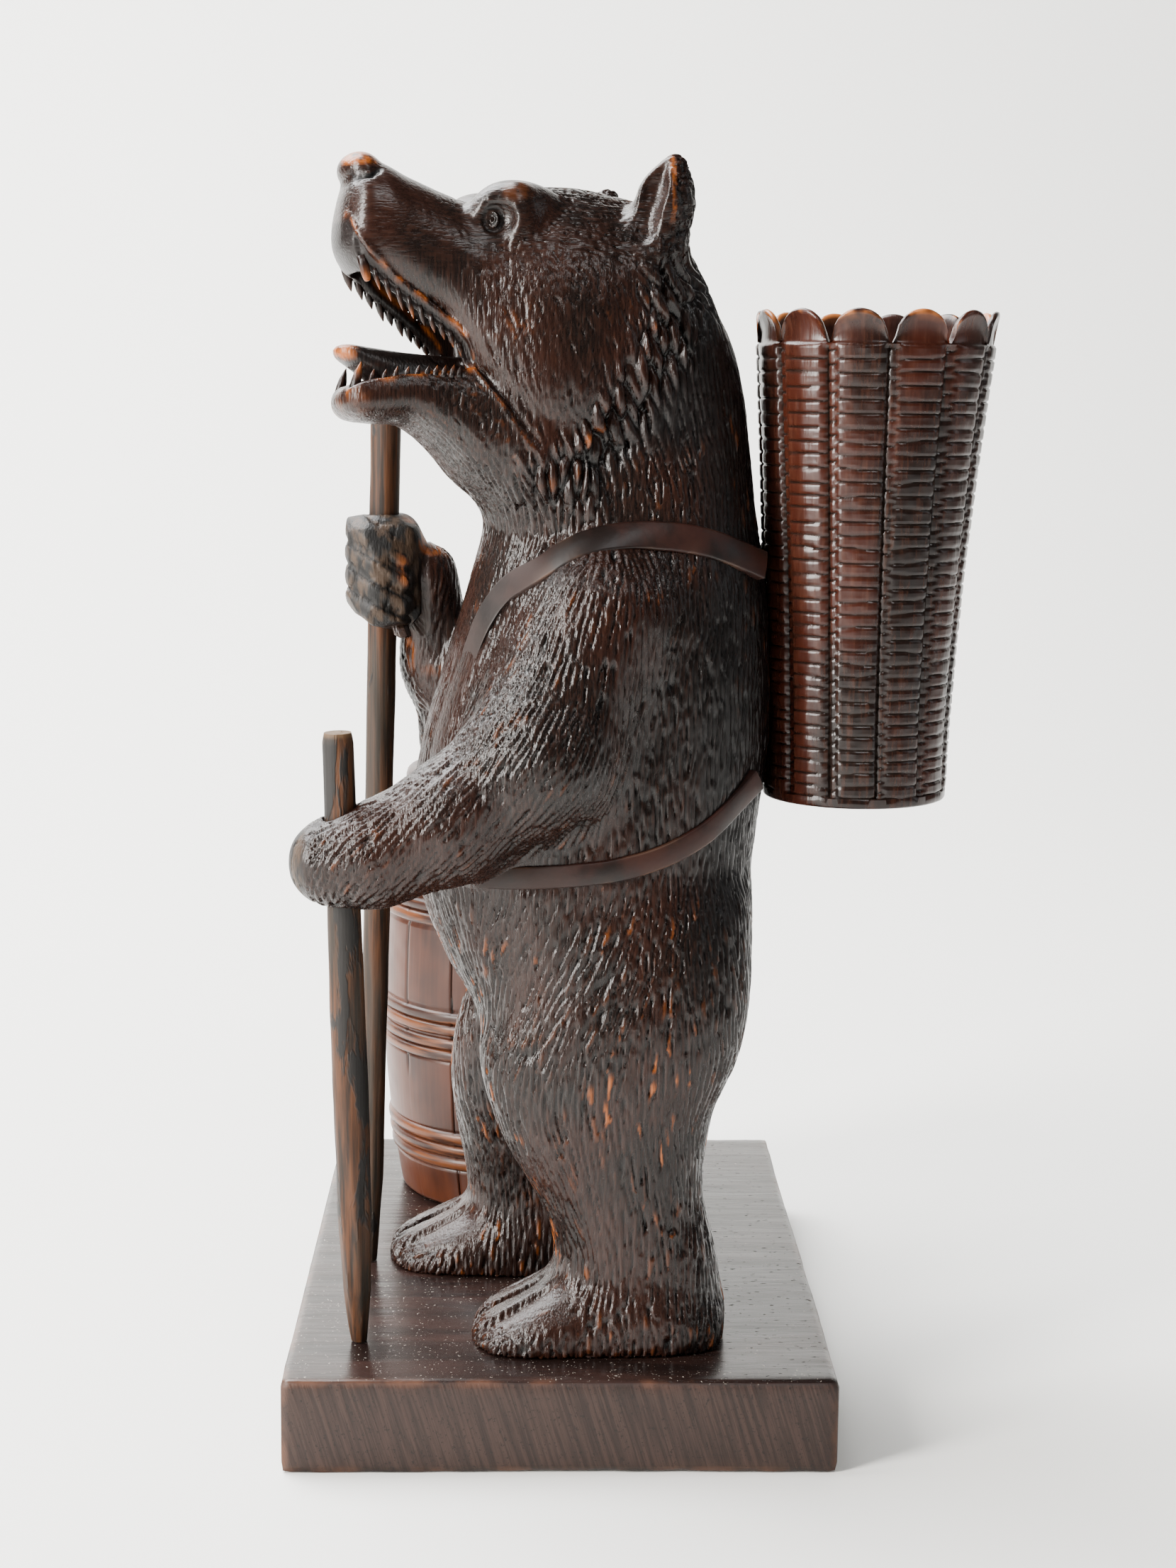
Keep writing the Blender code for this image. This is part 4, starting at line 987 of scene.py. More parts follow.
def hand_of(points):
    """1 on the raised fist and the paw's end, where the stain has gone grey and tan."""
    x, y, z = points.T
    fist = ramp(y, -52, -58) * ramp(z, 302, 310) * ramp(z, 362, 356) * ramp(x, 62, 52)
    paw = ramp(y, -95, -99) * ramp(z, 200, 206)
    return np.maximum(fist, paw)


def worn_marks(points, head, coat, own, along, ridge, behind):
    """Where the stain is rubbed off to orange wood: raised edges, and the tips of some strokes."""
    x, y, z = points.T
    forward, left, up = head.T
    patch = noise(points, 17, SEED + 8)
    small = noise(points, 5, SEED + 9)
    outer = ramp(np.abs(left), 8, 11)
    on_head = ramp(up, -90, -80)
    lips = 0.8 * np.exp(-((lip_drop(forward, up) / 0.8) ** 2)) * ramp(forward, 69, 71)
    lips = np.maximum(lips, 0.8 * np.exp(-(line_distance(forward, up, LOWER_LIP) ** 2)))
    fold = 0.3 * np.exp(-((fold_side(forward, up) / 0.6) ** 2))
    fold = fold * ramp(up, -31.5, -33.5) * ramp(up, -64, -60)
    edges = np.maximum(lips, fold) * outer * ramp(small, -0.5, 0.2)
    nose = ramp(egg((forward, left, up), (107, 6, 46.8), (8, 8.5, 4.2)), 1.5, -0.5)
    nose = nose * ramp(small, -0.9, -0.2)
    tongue = ramp(forward, 110, 116) * ramp(np.abs(up + 23.5), 5, 3)
    chin = 0.15 * ramp(forward, 108, 114) * ramp(up, -36, -40) * ramp(up, -52, -44)
    chin = chin * ramp(small, -0.3, 0.3)
    brow = 0.12 * ramp(egg((forward, np.abs(left), up), (54, 28, 32), (6, 5, 4)), 2, -1)
    ears = np.zeros(len(points))
    for side in (-1, 1):
        ear = np.abs(ear_field((forward, left, up), side))
        rim = ramp(np.abs(forward + 0.6 + 0.05 * (up - 20)), 1.3, 0.5) * ramp(ear, 1.5, 0.5)
        ears = np.maximum(ears, 0.6 * rim * ramp(up, 18, 24) * ramp(side * left, 38, 41))
    tips = ramp(along, -0.3, 0.2) * ramp(ridge, 0.9, 1) * ramp(own, 0.66, 0.78)
    thigh = ramp(z, 215, 180) * (0.15 + 0.85 * ramp(patch, -0.1, 0.45))
    tips = 0.8 * tips * np.maximum(thigh, 0.25 * ramp(patch, 0, 0.6)) * coat
    ruff = ramp(behind, -9, -4) * (behind < 0) * ramp(along, -0.1, 0.6) * ramp(own, 0.4, 0.6)
    ruff = ruff * ramp(up, 2, -10) * ramp(up, -76, -66) * ramp(ridge, 0.6, 0.85)
    wrist = ramp(y, -44, -50) * ramp(y, -68, -62) * ramp(z, 286, 300) * ramp(z, 356, 346)
    wrist = 0.8 * wrist * ramp(x, 62, 50) * ramp(x, 22, 30)
    wrist = wrist * ramp(noise(points, 9, SEED + 10), 0, 0.3)
    worn = np.maximum.reduce([edges, nose, tongue, chin, brow, ears, 0.8 * ruff]) * on_head
    return np.clip(np.maximum.reduce([worn, tips, wrist]), 0, 1)


# Meshes.


def placed(name, data):
    """An object that shows data, in the scene."""
    made = bpy.data.objects.new(name, data)
    bpy.context.scene.collection.objects.link(made)
    return made


def mesh_piece(name, points, faces, material, node, marks, normals=None, crisp=None):
    """A piece of the object from millimetre points. Edges over crisp degrees stay sharp.

    faces is an array of quads, or a list of tuples.
    """
    mesh = bpy.data.meshes.new(name)
    points = np.asarray(points, float) * MM
    if isinstance(faces, np.ndarray):
        mesh.vertices.add(len(points))
        mesh.vertices.foreach_set("co", points.astype(np.float32).ravel())
        mesh.loops.add(faces.size)
        mesh.loops.foreach_set("vertex_index", faces.astype(np.int32).ravel())
        mesh.polygons.add(len(faces))
        mesh.polygons.foreach_set("loop_start", np.arange(0, faces.size, faces.shape[1], dtype=np.int32))
    else:
        mesh.from_pydata(points.tolist(), [], faces)
    mesh.update(calc_edges=True)
    mesh.validate()
    mesh.shade_smooth()
    if crisp:
        mesh.set_sharp_from_angle(angle=math.radians(crisp))
    for mark, values in marks.items():
        layer = mesh.attributes.new(mark, "FLOAT", "POINT")
        layer.data.foreach_set("value", np.asarray(values, np.float32))
    if normals is not None:
        mesh.normals_split_custom_set_from_vertices(normals.tolist())
    mesh.materials.append(material)
    made = placed(name, mesh)
    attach(made, "root")
    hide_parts(node)


def fur_marks(count, **own):
    """The fur material's marks for a smooth piece: none but its own."""
    return {mark: np.zeros(count) + own.get(mark, 0) for mark in FUR_MARKS}


def ring_faces(rings, count):
    """Faces of a closed skin over rings of count points each."""
    r, i = np.meshgrid(np.arange(rings - 1), np.arange(count), indexing="ij")
    a, b = r * count + i, r * count + (i + 1) % count
    faces = np.stack([a, b, b + count, a + count], -1).reshape(-1, 4).tolist()
    faces.append(list(reversed(range(count))))
    faces.append(list(range((rings - 1) * count, rings * count)))
    return faces


def spokes_round(run, hint, count):
    """Unit spokes square to run, turning all round it."""
    u = unit(np.cross(run, hint))
    v = unit(np.cross(run, u))
    turns = np.linspace(0, 2 * math.pi, count, endpoint=False)
    return np.cos(turns)[:, None] * u + np.sin(turns)[:, None] * v


def bear_pieces(material, strap_paths):
    points, quads, marks = bear_skin(strap_paths)
    normals = normals_of(points, quads)
    middle = points[quads].mean(1)[:, 2]
    cuts = np.quantile(middle, np.linspace(0, 1, len(BEAR_PIECES) + 1))
    cuts[-1] += 1  # so that the last piece takes in the topmost quad
    for name, low, high in zip(BEAR_PIECES, cuts, cuts[1:]):
        own = quads[(middle >= low) & (middle < high)]
        used, faces = np.unique(own, return_inverse=True)
        mesh_piece(
            name, points[used], faces.reshape(-1, 4), material, "bear",
            {mark: values[used] for mark, values in marks.items()}, normals[used],
        )


def skin_at(start, direction, field, travel=90):
    """The first point of a field's skin from start along direction, and its outward normal."""
    direction = unit(direction)
    reach = np.linspace(0, travel, SKIN_PROBES)
    places = np.array(start, float) + reach[:, None] * direction
    value = field(*places.T)
    first = int(np.argmax(value < 0))
    low, high = reach[max(first - 1, 0)], reach[first]
    for _ in range(SKIN_HALVINGS):
        middle = 0.5 * (low + high)
        if field(*[c[None] for c in np.array(start) + middle * direction])[0] < 0:
            high = middle
        else:
            low = middle
    place = np.array(start) + low * direction
    steps = place + 0.5 * np.concatenate([np.eye(3), -np.eye(3)])
    value = field(*steps.T)
    return place, unit(value[:3] - value[3:])


def spline(rows, count):
    """Rows of numbers resampled along a smooth curve through them."""
    rows = np.asarray(rows, float)
    steps = np.linalg.norm(np.diff(rows[:, :3], axis=0), axis=1)
    at = np.concatenate([[0], np.cumsum(steps)])
    return smooth_line(at, rows, np.linspace(0, at[-1], count))


def strap_path(side):
    """Stations of one strap: its middle on the skin, and the skin's normal there."""
    found = []
    for lines, field in ((STRAP_OVER, bear_field), (STRAP_UNDER, trunk_field)):
        for start, direction in lines:
            start = (BEAR_X + side * (start[0] - BEAR_X), start[1], start[2])
            place, normal = skin_at(start, (side * direction[0], direction[1], direction[2]), field)
            found.append([*place, *normal])
    found = np.array(found)
    ends = []
    for near, far in ((found[0], found[1]), (found[-1], found[-2])):
        ends.append([*(near[:3] + STRAP_REACH * unit(near[:3] - far[:3])), *near[3:]])
    return spline(np.vstack([ends[0], found, ends[1]]), STRAP_STATIONS)


def softened(rows):
    """Rows moved half way towards the mean of their neighbours, but for the first and last."""
    inner = 0.5 * rows[1:-1] + 0.25 * (rows[:-2] + rows[2:])
    return np.vstack([rows[:1], inner, rows[-1:]])


def strap_piece(name, path, material):
    """A carved band with a crowned face and softened edges. It lies lower where it crosses the chest."""
    places, normals = path[:, :3], path[:, 3:]
    for _ in range(STRAP_SMOOTHINGS[0]):
        places = softened(places)
    places = places + 0.3 * normals
    for _ in range(STRAP_SMOOTHINGS[1]):
        normals = unit(softened(normals))
    runs = unit(np.gradient(places, axis=0))
    across = unit(np.cross(normals, runs))
    levels = (370, STRAP_LOW_LEVEL + 15, STRAP_LOW_LEVEL)
    half = 0.5 * np.interp(-places[:, 2], [-z for z in levels], (STRAP_WIDTH, STRAP_WIDTH, STRAP_LOW_WIDTH))
    chest = ramp(places[:, 1], -8, -26) * ramp(places[:, 2], 232, 250)
    edge = 0.55 - 0.45 * chest
    sunk = 1.6 * ramp(places[:, 2], 318, 296) * ramp(places[:, 2], 234, 246)
    sunk = sunk * ramp(places[:, 1], -10, -24)
    flank = ((-2.5, 0), (0.45 * STRAP_PROUD, 0), (0.8 * STRAP_PROUD, 0.3), (STRAP_PROUD, 0.9))
    section = [(height, inset, -1) for height, inset in flank] + [(STRAP_PROUD + 0.2, 0, 0)]
    section += [(height, inset, 1) for height, inset in reversed(flank)]
    rings = []
    for height, inset, side in section:
        rise = (height - 0.4 if height < 0 else height * (1 - 0.6 * chest)) - sunk
        rings.append(places + normals * rise[:, None] + across * (side * (half - inset))[:, None])
    points = np.stack(rings, 1).reshape(-1, 3)
    points += 0.15 * noises(points, 5, SEED + 30)
    points = cleared(points, 0.2)
    lines = np.tile([0, 0.6, 1, 0.2, 0, 0.2, 1, 0.6, 0], len(places))
    marks = {
        "worn": lines * np.repeat(edge, len(section)) * ramp(noise(points, 8, SEED + 31), 0, 0.6),
        # grey: painted sheen, a greyer tone on the strap's front and where it crosses the chest, where the
        # key lamp's reflection falls.
        "grey": np.repeat(np.maximum(chest, 0.8 * ramp(places[:, 1], 12, -6)), len(section)),
    }
    faces = ring_faces(len(places), len(section))
    mesh_piece(name, points, faces, material, "bear", marks, crisp=60)


def cone(base, tip, radius, profile):
    """Points and faces of a slightly swollen tooth from below its base to its tip."""
    run = tip - base
    spokes = spokes_round(run, (0.3, 1, 0.2), TOOTH_SIDES)
    rings = [base + run * share + spokes * radius * wide for share, wide in profile]
    return np.concatenate(rings), ring_faces(len(profile), TOOTH_SIDES)


def bare_head_field(x, y, z):
    return head_fields(x, y, z)[0]


def teeth_piece(material):
    """Rows of pointed teeth along both jaws, each behind a fang. The left ones are worn to bare wood."""
    forwards, _, up = head_axes()
    rng = np.random.default_rng(SEED + 41)
    cones, worn = [], []
    for side in (-1, 1):
        for i, forward in enumerate(UPPER_TEETH):
            half = np.interp(forward, (73, 80, 95, 108), (18.4, 17, 14.6, 12.8))
            lip = np.interp(forward, *zip(*UPPER_LIP))
            base = from_head(forward + 1.9, side * half, lip - 4.4)
            broken = i == 0 and side == 1
            long, wide = FANG, 1.9
            if i > 0:
                long = np.interp(forward, (73, 90, 104), (3.6, 5.2, 5.6)) * rng.uniform(0.88, 1.1)
                wide = 1.6 - 0.5 * (side == 1)
            profile = BROKEN_PROFILE if broken else TOOTH_PROFILE
            cones.append(cone(base, base - up * long - 0.22 * long * forwards, wide, profile))
            worn.append(1 if broken else (0.1 + 0.6 * (side == 1)) * rng.uniform(0.3, 1))
        for i, forward in enumerate(LOWER_TEETH):
            half = np.interp(forward, (76, 92, 106, 114), (21, 17.6, 14.8, 11.4))
            base = skin_at(from_head(forward, side * half, -14), -up, bare_head_field, 50)[0]
            long = 1.15 * FANG if i == 0 else 3.4 * rng.uniform(0.85, 1.1)
            wide = 1.9 if i == 0 else 1.1
            cones.append(cone(base, base + up * long - 0.3 * long * forwards, wide, TOOTH_PROFILE))
            worn.append(1 if i == 0 and side == 1 else rng.uniform(0, 0.35))
    for left in (-7, -2.4, 2.4, 7):
        base = from_head(115.6 - 0.03 * left * left, left, -41.5)
        cones.append(cone(base, base + 4 * up + 0.4 * forwards, 1.5, TOOTH_PROFILE))
        worn.append(rng.uniform(0, 0.5))
    points = np.concatenate([p for p, _ in cones])
    count = len(cones[0][0])
    faces = [[i + k * count for i in face] for k, (_, own) in enumerate(cones) for face in own]
    share = np.tile(np.repeat([s for s, _ in TOOTH_PROFILE], TOOTH_SIDES), len(cones))
    bare = ramp(share, 0.1, 0.95) * np.repeat(worn, count)
    marks = fur_marks(len(points), ridge=1, dark=0.4, worn=bare)
    mesh_piece("teeth", points, faces, material, "bear", marks)


def turned_points(profile, count, axis_point, axis):
    """A profile of (radius, along) spun round an axis."""
    axis = unit(axis)
    spokes = spokes_round(axis, (0.2, 1, 0.3), count)
    return np.concatenate([np.array(axis_point) + axis * along + spokes * r for r, along in profile])


def eye_pieces(material):
    """Each eye: a bead with a raised ring and a drilled pupil, as (radius, height, painted shade) from its
    rim in. The shade is painted in the groove round the bead, in the dip inside the ring and in the pupil.
    """
    profile = (
        (5.3, -3.2, 0.9), (5.2, -0.8, 0.8), (4.9, 0.5, 0.3), (4.3, 1.4, 0), (3.7, 1.75, 0), (3.2, 1.7, 0.2),
        (2.95, 1.1, 0.9), (2.6, 0.95, 0.8), (2.2, 1.45, 0.1), (1.7, 1.65, 0), (1.35, 1.5, 0.3),
        (1.05, 0.3, 1), (0.6, -0.2, 1), (0.15, -0.3, 1),
    )
    axes = head_axes()
    for side, name in ((1, "eye_left"), (-1, "eye_right")):
        centre = from_head(EYE[0], side * (EYE[1] - 1), EYE[2])
        axis = np.array([0.5, side * 0.86, 0.02]) @ axes
        points = turned_points([row[:2] for row in profile], EYE_SIDES, centre, axis) - centre
        points = centre + 0.7 * points - 0.2 * np.outer(points @ axes[0], axes[0])
        painted_eye_shade = np.repeat([row[2] for row in profile], EYE_SIDES)
        # Painted shade in the eye's grooves and pupil, given through both the ridge and the dark marks.
        marks = fur_marks(len(points), ridge=1 - painted_eye_shade, dark=painted_eye_shade)
        mesh_piece(name, points, ring_faces(len(profile), EYE_SIDES), material, "bear", marks)


def basket_piece(material):
    """The pack basket: woven rows on upright panels, a set-back strip beside each, a tab over each."""
    rng = np.random.default_rng(SEED + 50)
    count = BASKET_PANELS * WEAVE_COLUMNS
    panel = np.repeat(np.arange(BASKET_PANELS), WEAVE_COLUMNS)
    phase = np.tile((np.arange(WEAVE_COLUMNS) + 0.5) / WEAVE_COLUMNS, BASKET_PANELS)
    turn = BASKET_FIRST_PANEL + (panel - 0.5 + phase) * 2 * math.pi / BASKET_PANELS
    setback = np.interp(
        phase, (0, 0.02, 0.05, 0.15, 0.175, 0.22, 0.55, 0.9, 0.985, 1),
        (2.4, 2.2, 1.25, 1.05, 0.95, 0.15, -0.3, 0.05, 0.9, 2.2),
    )
    offsets = rng.uniform(-0.4, 0.4, (BASKET_PANELS, 2, WEAVE_ROWS + 3))
    slopes = rng.normal(0, 0.6, (BASKET_PANELS, 2, WEAVE_ROWS + 3))
    low, rim = BASKET_LOW[2], BASKET_RIM[2]
    band = low + BAND
    side = (ramp(phase, 0.175, 0.155) > 0.5).astype(int)  # 1 on the set-back strip

    def edge_at(z):
        """How far z is from the nearer edge between two woven rows, at each column."""
        share = (z - band) / (rim - band)
        place = WEAVE_ROWS * share * (1.06 - 0.06 * share) + 0.5 * side
        whole = np.clip(np.round(place), 0, WEAVE_ROWS + 1).astype(int)
        own = (panel, side, whole)
        pitch = (rim - band) / WEAVE_ROWS
        return np.abs((place - whole) * pitch - offsets[own] - slopes[own] * (phase - 0.5))

    rings, marks = [], {"groove": [], "tip": []}

    def ring(z, offset, tab=0, share=1, relief=0):
        """Adds a ring at z, offset from the basket's side and rising by a share of a tab."""
        across = np.clip((phase - TAB_MIDDLE) / TAB_HALF, -1, 1)
        height = z + tab * share * np.sqrt(1 - across * across) ** 0.8
        cut = np.zeros(count)
        if relief:
            cut = WEAVE_CUT * ramp(edge_at(z), 0.62, 0.15)
            cut += 0.12 * wrapped_noise(turn * 40, height, 3, SEED + 51)
        reach = basket_radius(height) + offset - relief * setback - cut
        reach += 0.1 * wrapped_noise(turn * 40, height / 3, 7, SEED + 52)
        angle = turn + BASKET_TWIST * (1 - basket_share(height))
        middle = BASKET_LOW[1] + flare(height) * (BASKET_RIM[1] - BASKET_LOW[1])
        x, y = BASKET_LOW[0] + reach * np.cos(angle), middle + reach * np.sin(angle)
        rings.append(np.stack([x, y, height], 1))
        marks["groove"].append(np.clip(cut / WEAVE_CUT + relief * ramp(setback, 1.1, 2.2), 0, 1))
        marks["tip"].append((tab > 0) * ramp(share, 0.8, 1) * np.sqrt(1 - across * across))

    for z, offset in ((low, -1.4), (low + 0.3, -0.5), (low + 1, -0.1), (band - 0.4, 0)):
        ring(z, offset)
    for z in np.arange(band, rim - 0.3, WEAVE_LAYER):
        ring(z, 0, relief=1)
    ring(rim, -0.6)
    ring(rim + 0.5, -1.4)
    for share in (0.15, 0.4, 0.65, 0.85, 0.95):
        ring(rim + 0.5, -1.4 + share - 0.9 * math.sin(math.pi * share), BASKET_TAB - 0.6, share)
    for offset, drop in ((-1, 0.3), (-2, 0), (-2.9, 0.5)):
        ring(rim + 0.5, offset, BASKET_TAB - drop)
    for share in (0.85, 0.6, 0.3, 0):
        ring(rim + 0.3, -3.4 - (1 - share), BASKET_TAB, share)
    for z in np.linspace(rim - 4, low + BASKET_FLOOR, 12):
        ring(z, -BASKET_WALL)
    points = np.concatenate(rings)
    marks = {mark: np.concatenate(values) for mark, values in marks.items()}
    marks["chip"] = ramp(np.linalg.norm(points - BASKET_CHIP, axis=1), 2.6, 1.2)
    faces = ring_faces(len(rings), count)
    mesh_piece("woven_basket", points, faces, material, "basket", marks, crisp=65)


def barrel_radius(z):
    half = 0.5 * (BARREL_RIM - BARREL_LOW)
    share = (z - BARREL_LOW - half) / half
    return BARREL_END_RADIUS + BARREL_BELLY * (1 - share * share)


def barrel_piece(material):
    """Staves with open joints between them, and groups of rounded hoops."""
    count = STAVES * BARREL_COLUMNS
    even = np.tile((np.arange(BARREL_COLUMNS) + 0.5) / BARREL_COLUMNS, STAVES)
    phase = even - 0.12 * np.sin(2 * math.pi * even)  # closer together beside the joints
    stave = np.repeat(np.arange(STAVES), BARREL_COLUMNS)
    turn = FIRST_JOINT + (stave + phase) * 2 * math.pi / STAVES
    joint = ramp(np.minimum(phase, 1 - phase), 0.03, 0.012)
    proud = np.random.default_rng(SEED + 60).uniform(-0.25, 0.25, STAVES)[stave]
    rings, hoops, joints = [], [], []

    def ring(z, radius, hoop=0, carved=True):
        """Adds a ring at z. Joints are cut where it is carved, the less the more of it is hoop."""
        shown = carved * (1 - hoop)
        opened = joint * ramp(wrapped_noise(turn * 9, z / 30, 1, SEED + 63), -0.35, 0.1)
        reach = radius - shown * (0.6 * opened - 0.2 * proud)
        reach = reach + 0.12 * wrapped_noise(turn * 50, z, 6, SEED + 61)
        x, y = BARREL_X + reach * np.cos(turn), BARREL_Y + reach * np.sin(turn)
        rings.append(np.stack([x, y, np.full(count, z)], 1))
        hoops.append(np.full(count, hoop))
        joints.append(shown * opened)

    ring(BARREL_LOW, BARREL_END_RADIUS - 1.2, carved=False)
    ring(BARREL_LOW + 0.8, barrel_radius(BARREL_LOW + 0.8) - 0.3)
    centres = [BARREL_LOW + share * (BARREL_RIM - BARREL_LOW) for group in BARREL_HOOPS for share in group]
    for z in np.arange(BARREL_LOW + 1.6, BARREL_RIM - 6, BARREL_LAYER):
        nearest = min(abs(z - c) for c in centres)
        rounded = math.sqrt(max(0, 1 - (nearest / HOOP_HALF) ** 2))
        gap = 0.5 * (HOOP_HALF - 0.1 < nearest < HOOP_HALF + 0.9)
        ring(z, barrel_radius(z) + HOOP_PROUD * rounded - gap, min(1, 1.3 * rounded))
    brim = ((5.4, -0.6, 0), (5, -1.4, 0), (4.2, -0.4, 1), (2.6, 0.1, 1), (1, -0.5, 1))
    for drop, offset, hoop in brim:
        ring(BARREL_RIM - drop, BARREL_END_RADIUS + offset, hoop)
    ring(BARREL_RIM, BARREL_END_RADIUS - 1.8, carved=False)
    for z in np.linspace(BARREL_RIM, BARREL_LOW + 8, 8):
        ring(z, barrel_radius(z) - BARREL_WALL, carved=False)
    points = np.concatenate(rings)
    marks = {"hoop": np.concatenate(hoops), "groove": np.concatenate(joints)}
    faces = ring_faces(len(rings), count)
    mesh_piece("stave_barrel", points, faces, material, "barrel", marks, crisp=55)


def lid_piece(material):
    """The barrel's lid: a plug that fits its mouth, a rounded brim and a shallow dish on top."""
    low = BARREL_RIM + GAP
    edge = BARREL_END_RADIUS - 1.6
    plug = BARREL_END_RADIUS - BARREL_WALL - 1
    profile = [(plug - 1, low - 5), (plug, low - 4), (plug, low), (edge - 1.8, low)]
    profile += [(edge - 0.6, low + 0.7), (edge, low + 2.2), (edge, low + 4.4), (edge - 0.6, low + 6.4)]
    for inset, drop in ((2, 0.5), (3.4, 0), (6.4, 0), (7.6, 0.7), (8.2, 2)):
        profile.append((edge - inset, LID_TOP - drop))
    profile += [(r, LID_TOP - 2) for r in (34, 24, 14, 5, 0.4)]
    points = turned_points(profile, LID_SIDES, (BARREL_X, BARREL_Y, 0), (0, 0, 1))
    points += 0.1 * noises(points, 7, SEED + 62)
    marks = {"hoop": np.full(len(points), 0.6), "groove": np.zeros(len(points))}
    faces = ring_faces(len(profile), LID_SIDES)
    mesh_piece("turned_lid", points, faces, material, "barrel_lid", marks, crisp=50)


def staff_piece(name, node, ends, radii, material, facets):
    """A branch with knife facets near its lower end and shallow dents above."""
    start, end = np.array(ends[0]), np.array(ends[1])
    spokes = spokes_round(end - start, (0, 1, 0), STAFF_SIDES)
    turn = np.linspace(0, 2 * math.pi, STAFF_SIDES, endpoint=False)
    shares = np.linspace(0, 1, STAFF_RINGS)
    half = math.pi / facets
    rings = []
    for share in shares:
        radius = np.interp(share, *zip(*radii))
        centre = start + (end - start) * share
        flat = math.cos(half) / np.cos((turn + 1.3 * share) % (2 * half) - half)
        wide = radius * (1 - ramp(share, 0.45, 0.2) * (1 - flat))
        stretched = (centre + spokes * radius) * (1, 1, 0.22)
        wide = wide + 0.22 * noise(stretched, 3.4, SEED + 70) - 0.12
        wide -= 0.7 * max(0, share - 0.985) / 0.015
        rings.append(centre + spokes * wide[:, None])
    points = np.concatenate(rings)
    points[:, 2] = np.maximum(points[:, 2], PLINTH_TOP + GAP)
    marks = {"end": ramp(np.repeat(shares, STAFF_SIDES), 0.99, 0.999)}
    faces = ring_faces(STAFF_RINGS, STAFF_SIDES)
    mesh_piece(name, points, faces, material, node, marks, crisp=50)


def plinth_piece(material):
    """The plank: a fine box whose edges and corners are worn round by uneven amounts."""
    half = np.array([PLINTH_X, PLINTH_Y, PLINTH_TOP]) * 0.5
    counts = np.round(2 * half / PLANK_CELL).astype(int)
    points, faces, base = [], [], 0
    for axis, sign in itertools.product(range(3), (-1, 1)):
        u, v = [i for i in range(3) if i != axis]
        rows, step = counts[u] + 1, counts[v] + 1
        a, b = np.meshgrid(np.linspace(-1, 1, rows), np.linspace(-1, 1, step), indexing="ij")
        grid = np.zeros(a.shape + (3,))
        grid[..., u], grid[..., v], grid[..., axis] = a, b, sign
        points.append(grid.reshape(-1, 3))
        i, j = np.meshgrid(np.arange(rows - 1), np.arange(step - 1), indexing="ij")
        corner = base + i * step + j
        quad = np.stack([corner, corner + step, corner + step + 1, corner + 1], -1).reshape(-1, 4)
        flip = (sign > 0) == (axis == 1)
        faces.append(quad[:, ::-1] if flip else quad)
        base += len(points[-1])
    points = np.concatenate(points) * half
    wear = 2.6 + 1.6 * noise(points, 40, SEED + 80) + 0.7 * noise(points, 9, SEED + 81)
    wear = np.clip(wear, 1.2, 5)[:, None]
    inner = np.clip(points, -(half - wear), half - wear)
    away = points - inner
    length = np.linalg.norm(away, axis=1, keepdims=True)
    points = inner + away * np.minimum(1, wear / np.maximum(length, 1e-9))
    on_top = points[:, 2] > half[2] - 0.5
    points[:, 2] -= np.where(on_top, 0.12 + 0.12 * noise(points * (1, 0.25, 1), 9, SEED + 82), 0)
    points[:, 2] += half[2]
    faces = np.concatenate(faces)
    welded, index = np.unique(np.round(points, 3), axis=0, return_inverse=True)
    faces = index.reshape(-1)[faces]
    plain = np.array([len(set(face)) == 4 for face in faces.tolist()])
    rest = [tuple(dict.fromkeys(face)) for face in faces[~plain].tolist()]
    kept = [tuple(face) for face in faces[plain].tolist()] + [face for face in rest if len(face) == 3]
    welded[welded[:, 2] < 0.05, 2] = 0
    inset = np.sort(half - np.abs(welded - (0, 0, half[2])), axis=1)
    marks = {"edge": ramp(inset[:, 1], 4, 0.8)}  # 1 along the edges
    mesh_piece("worn_plank", welded, kept, material, "plinth", marks)


# Materials.


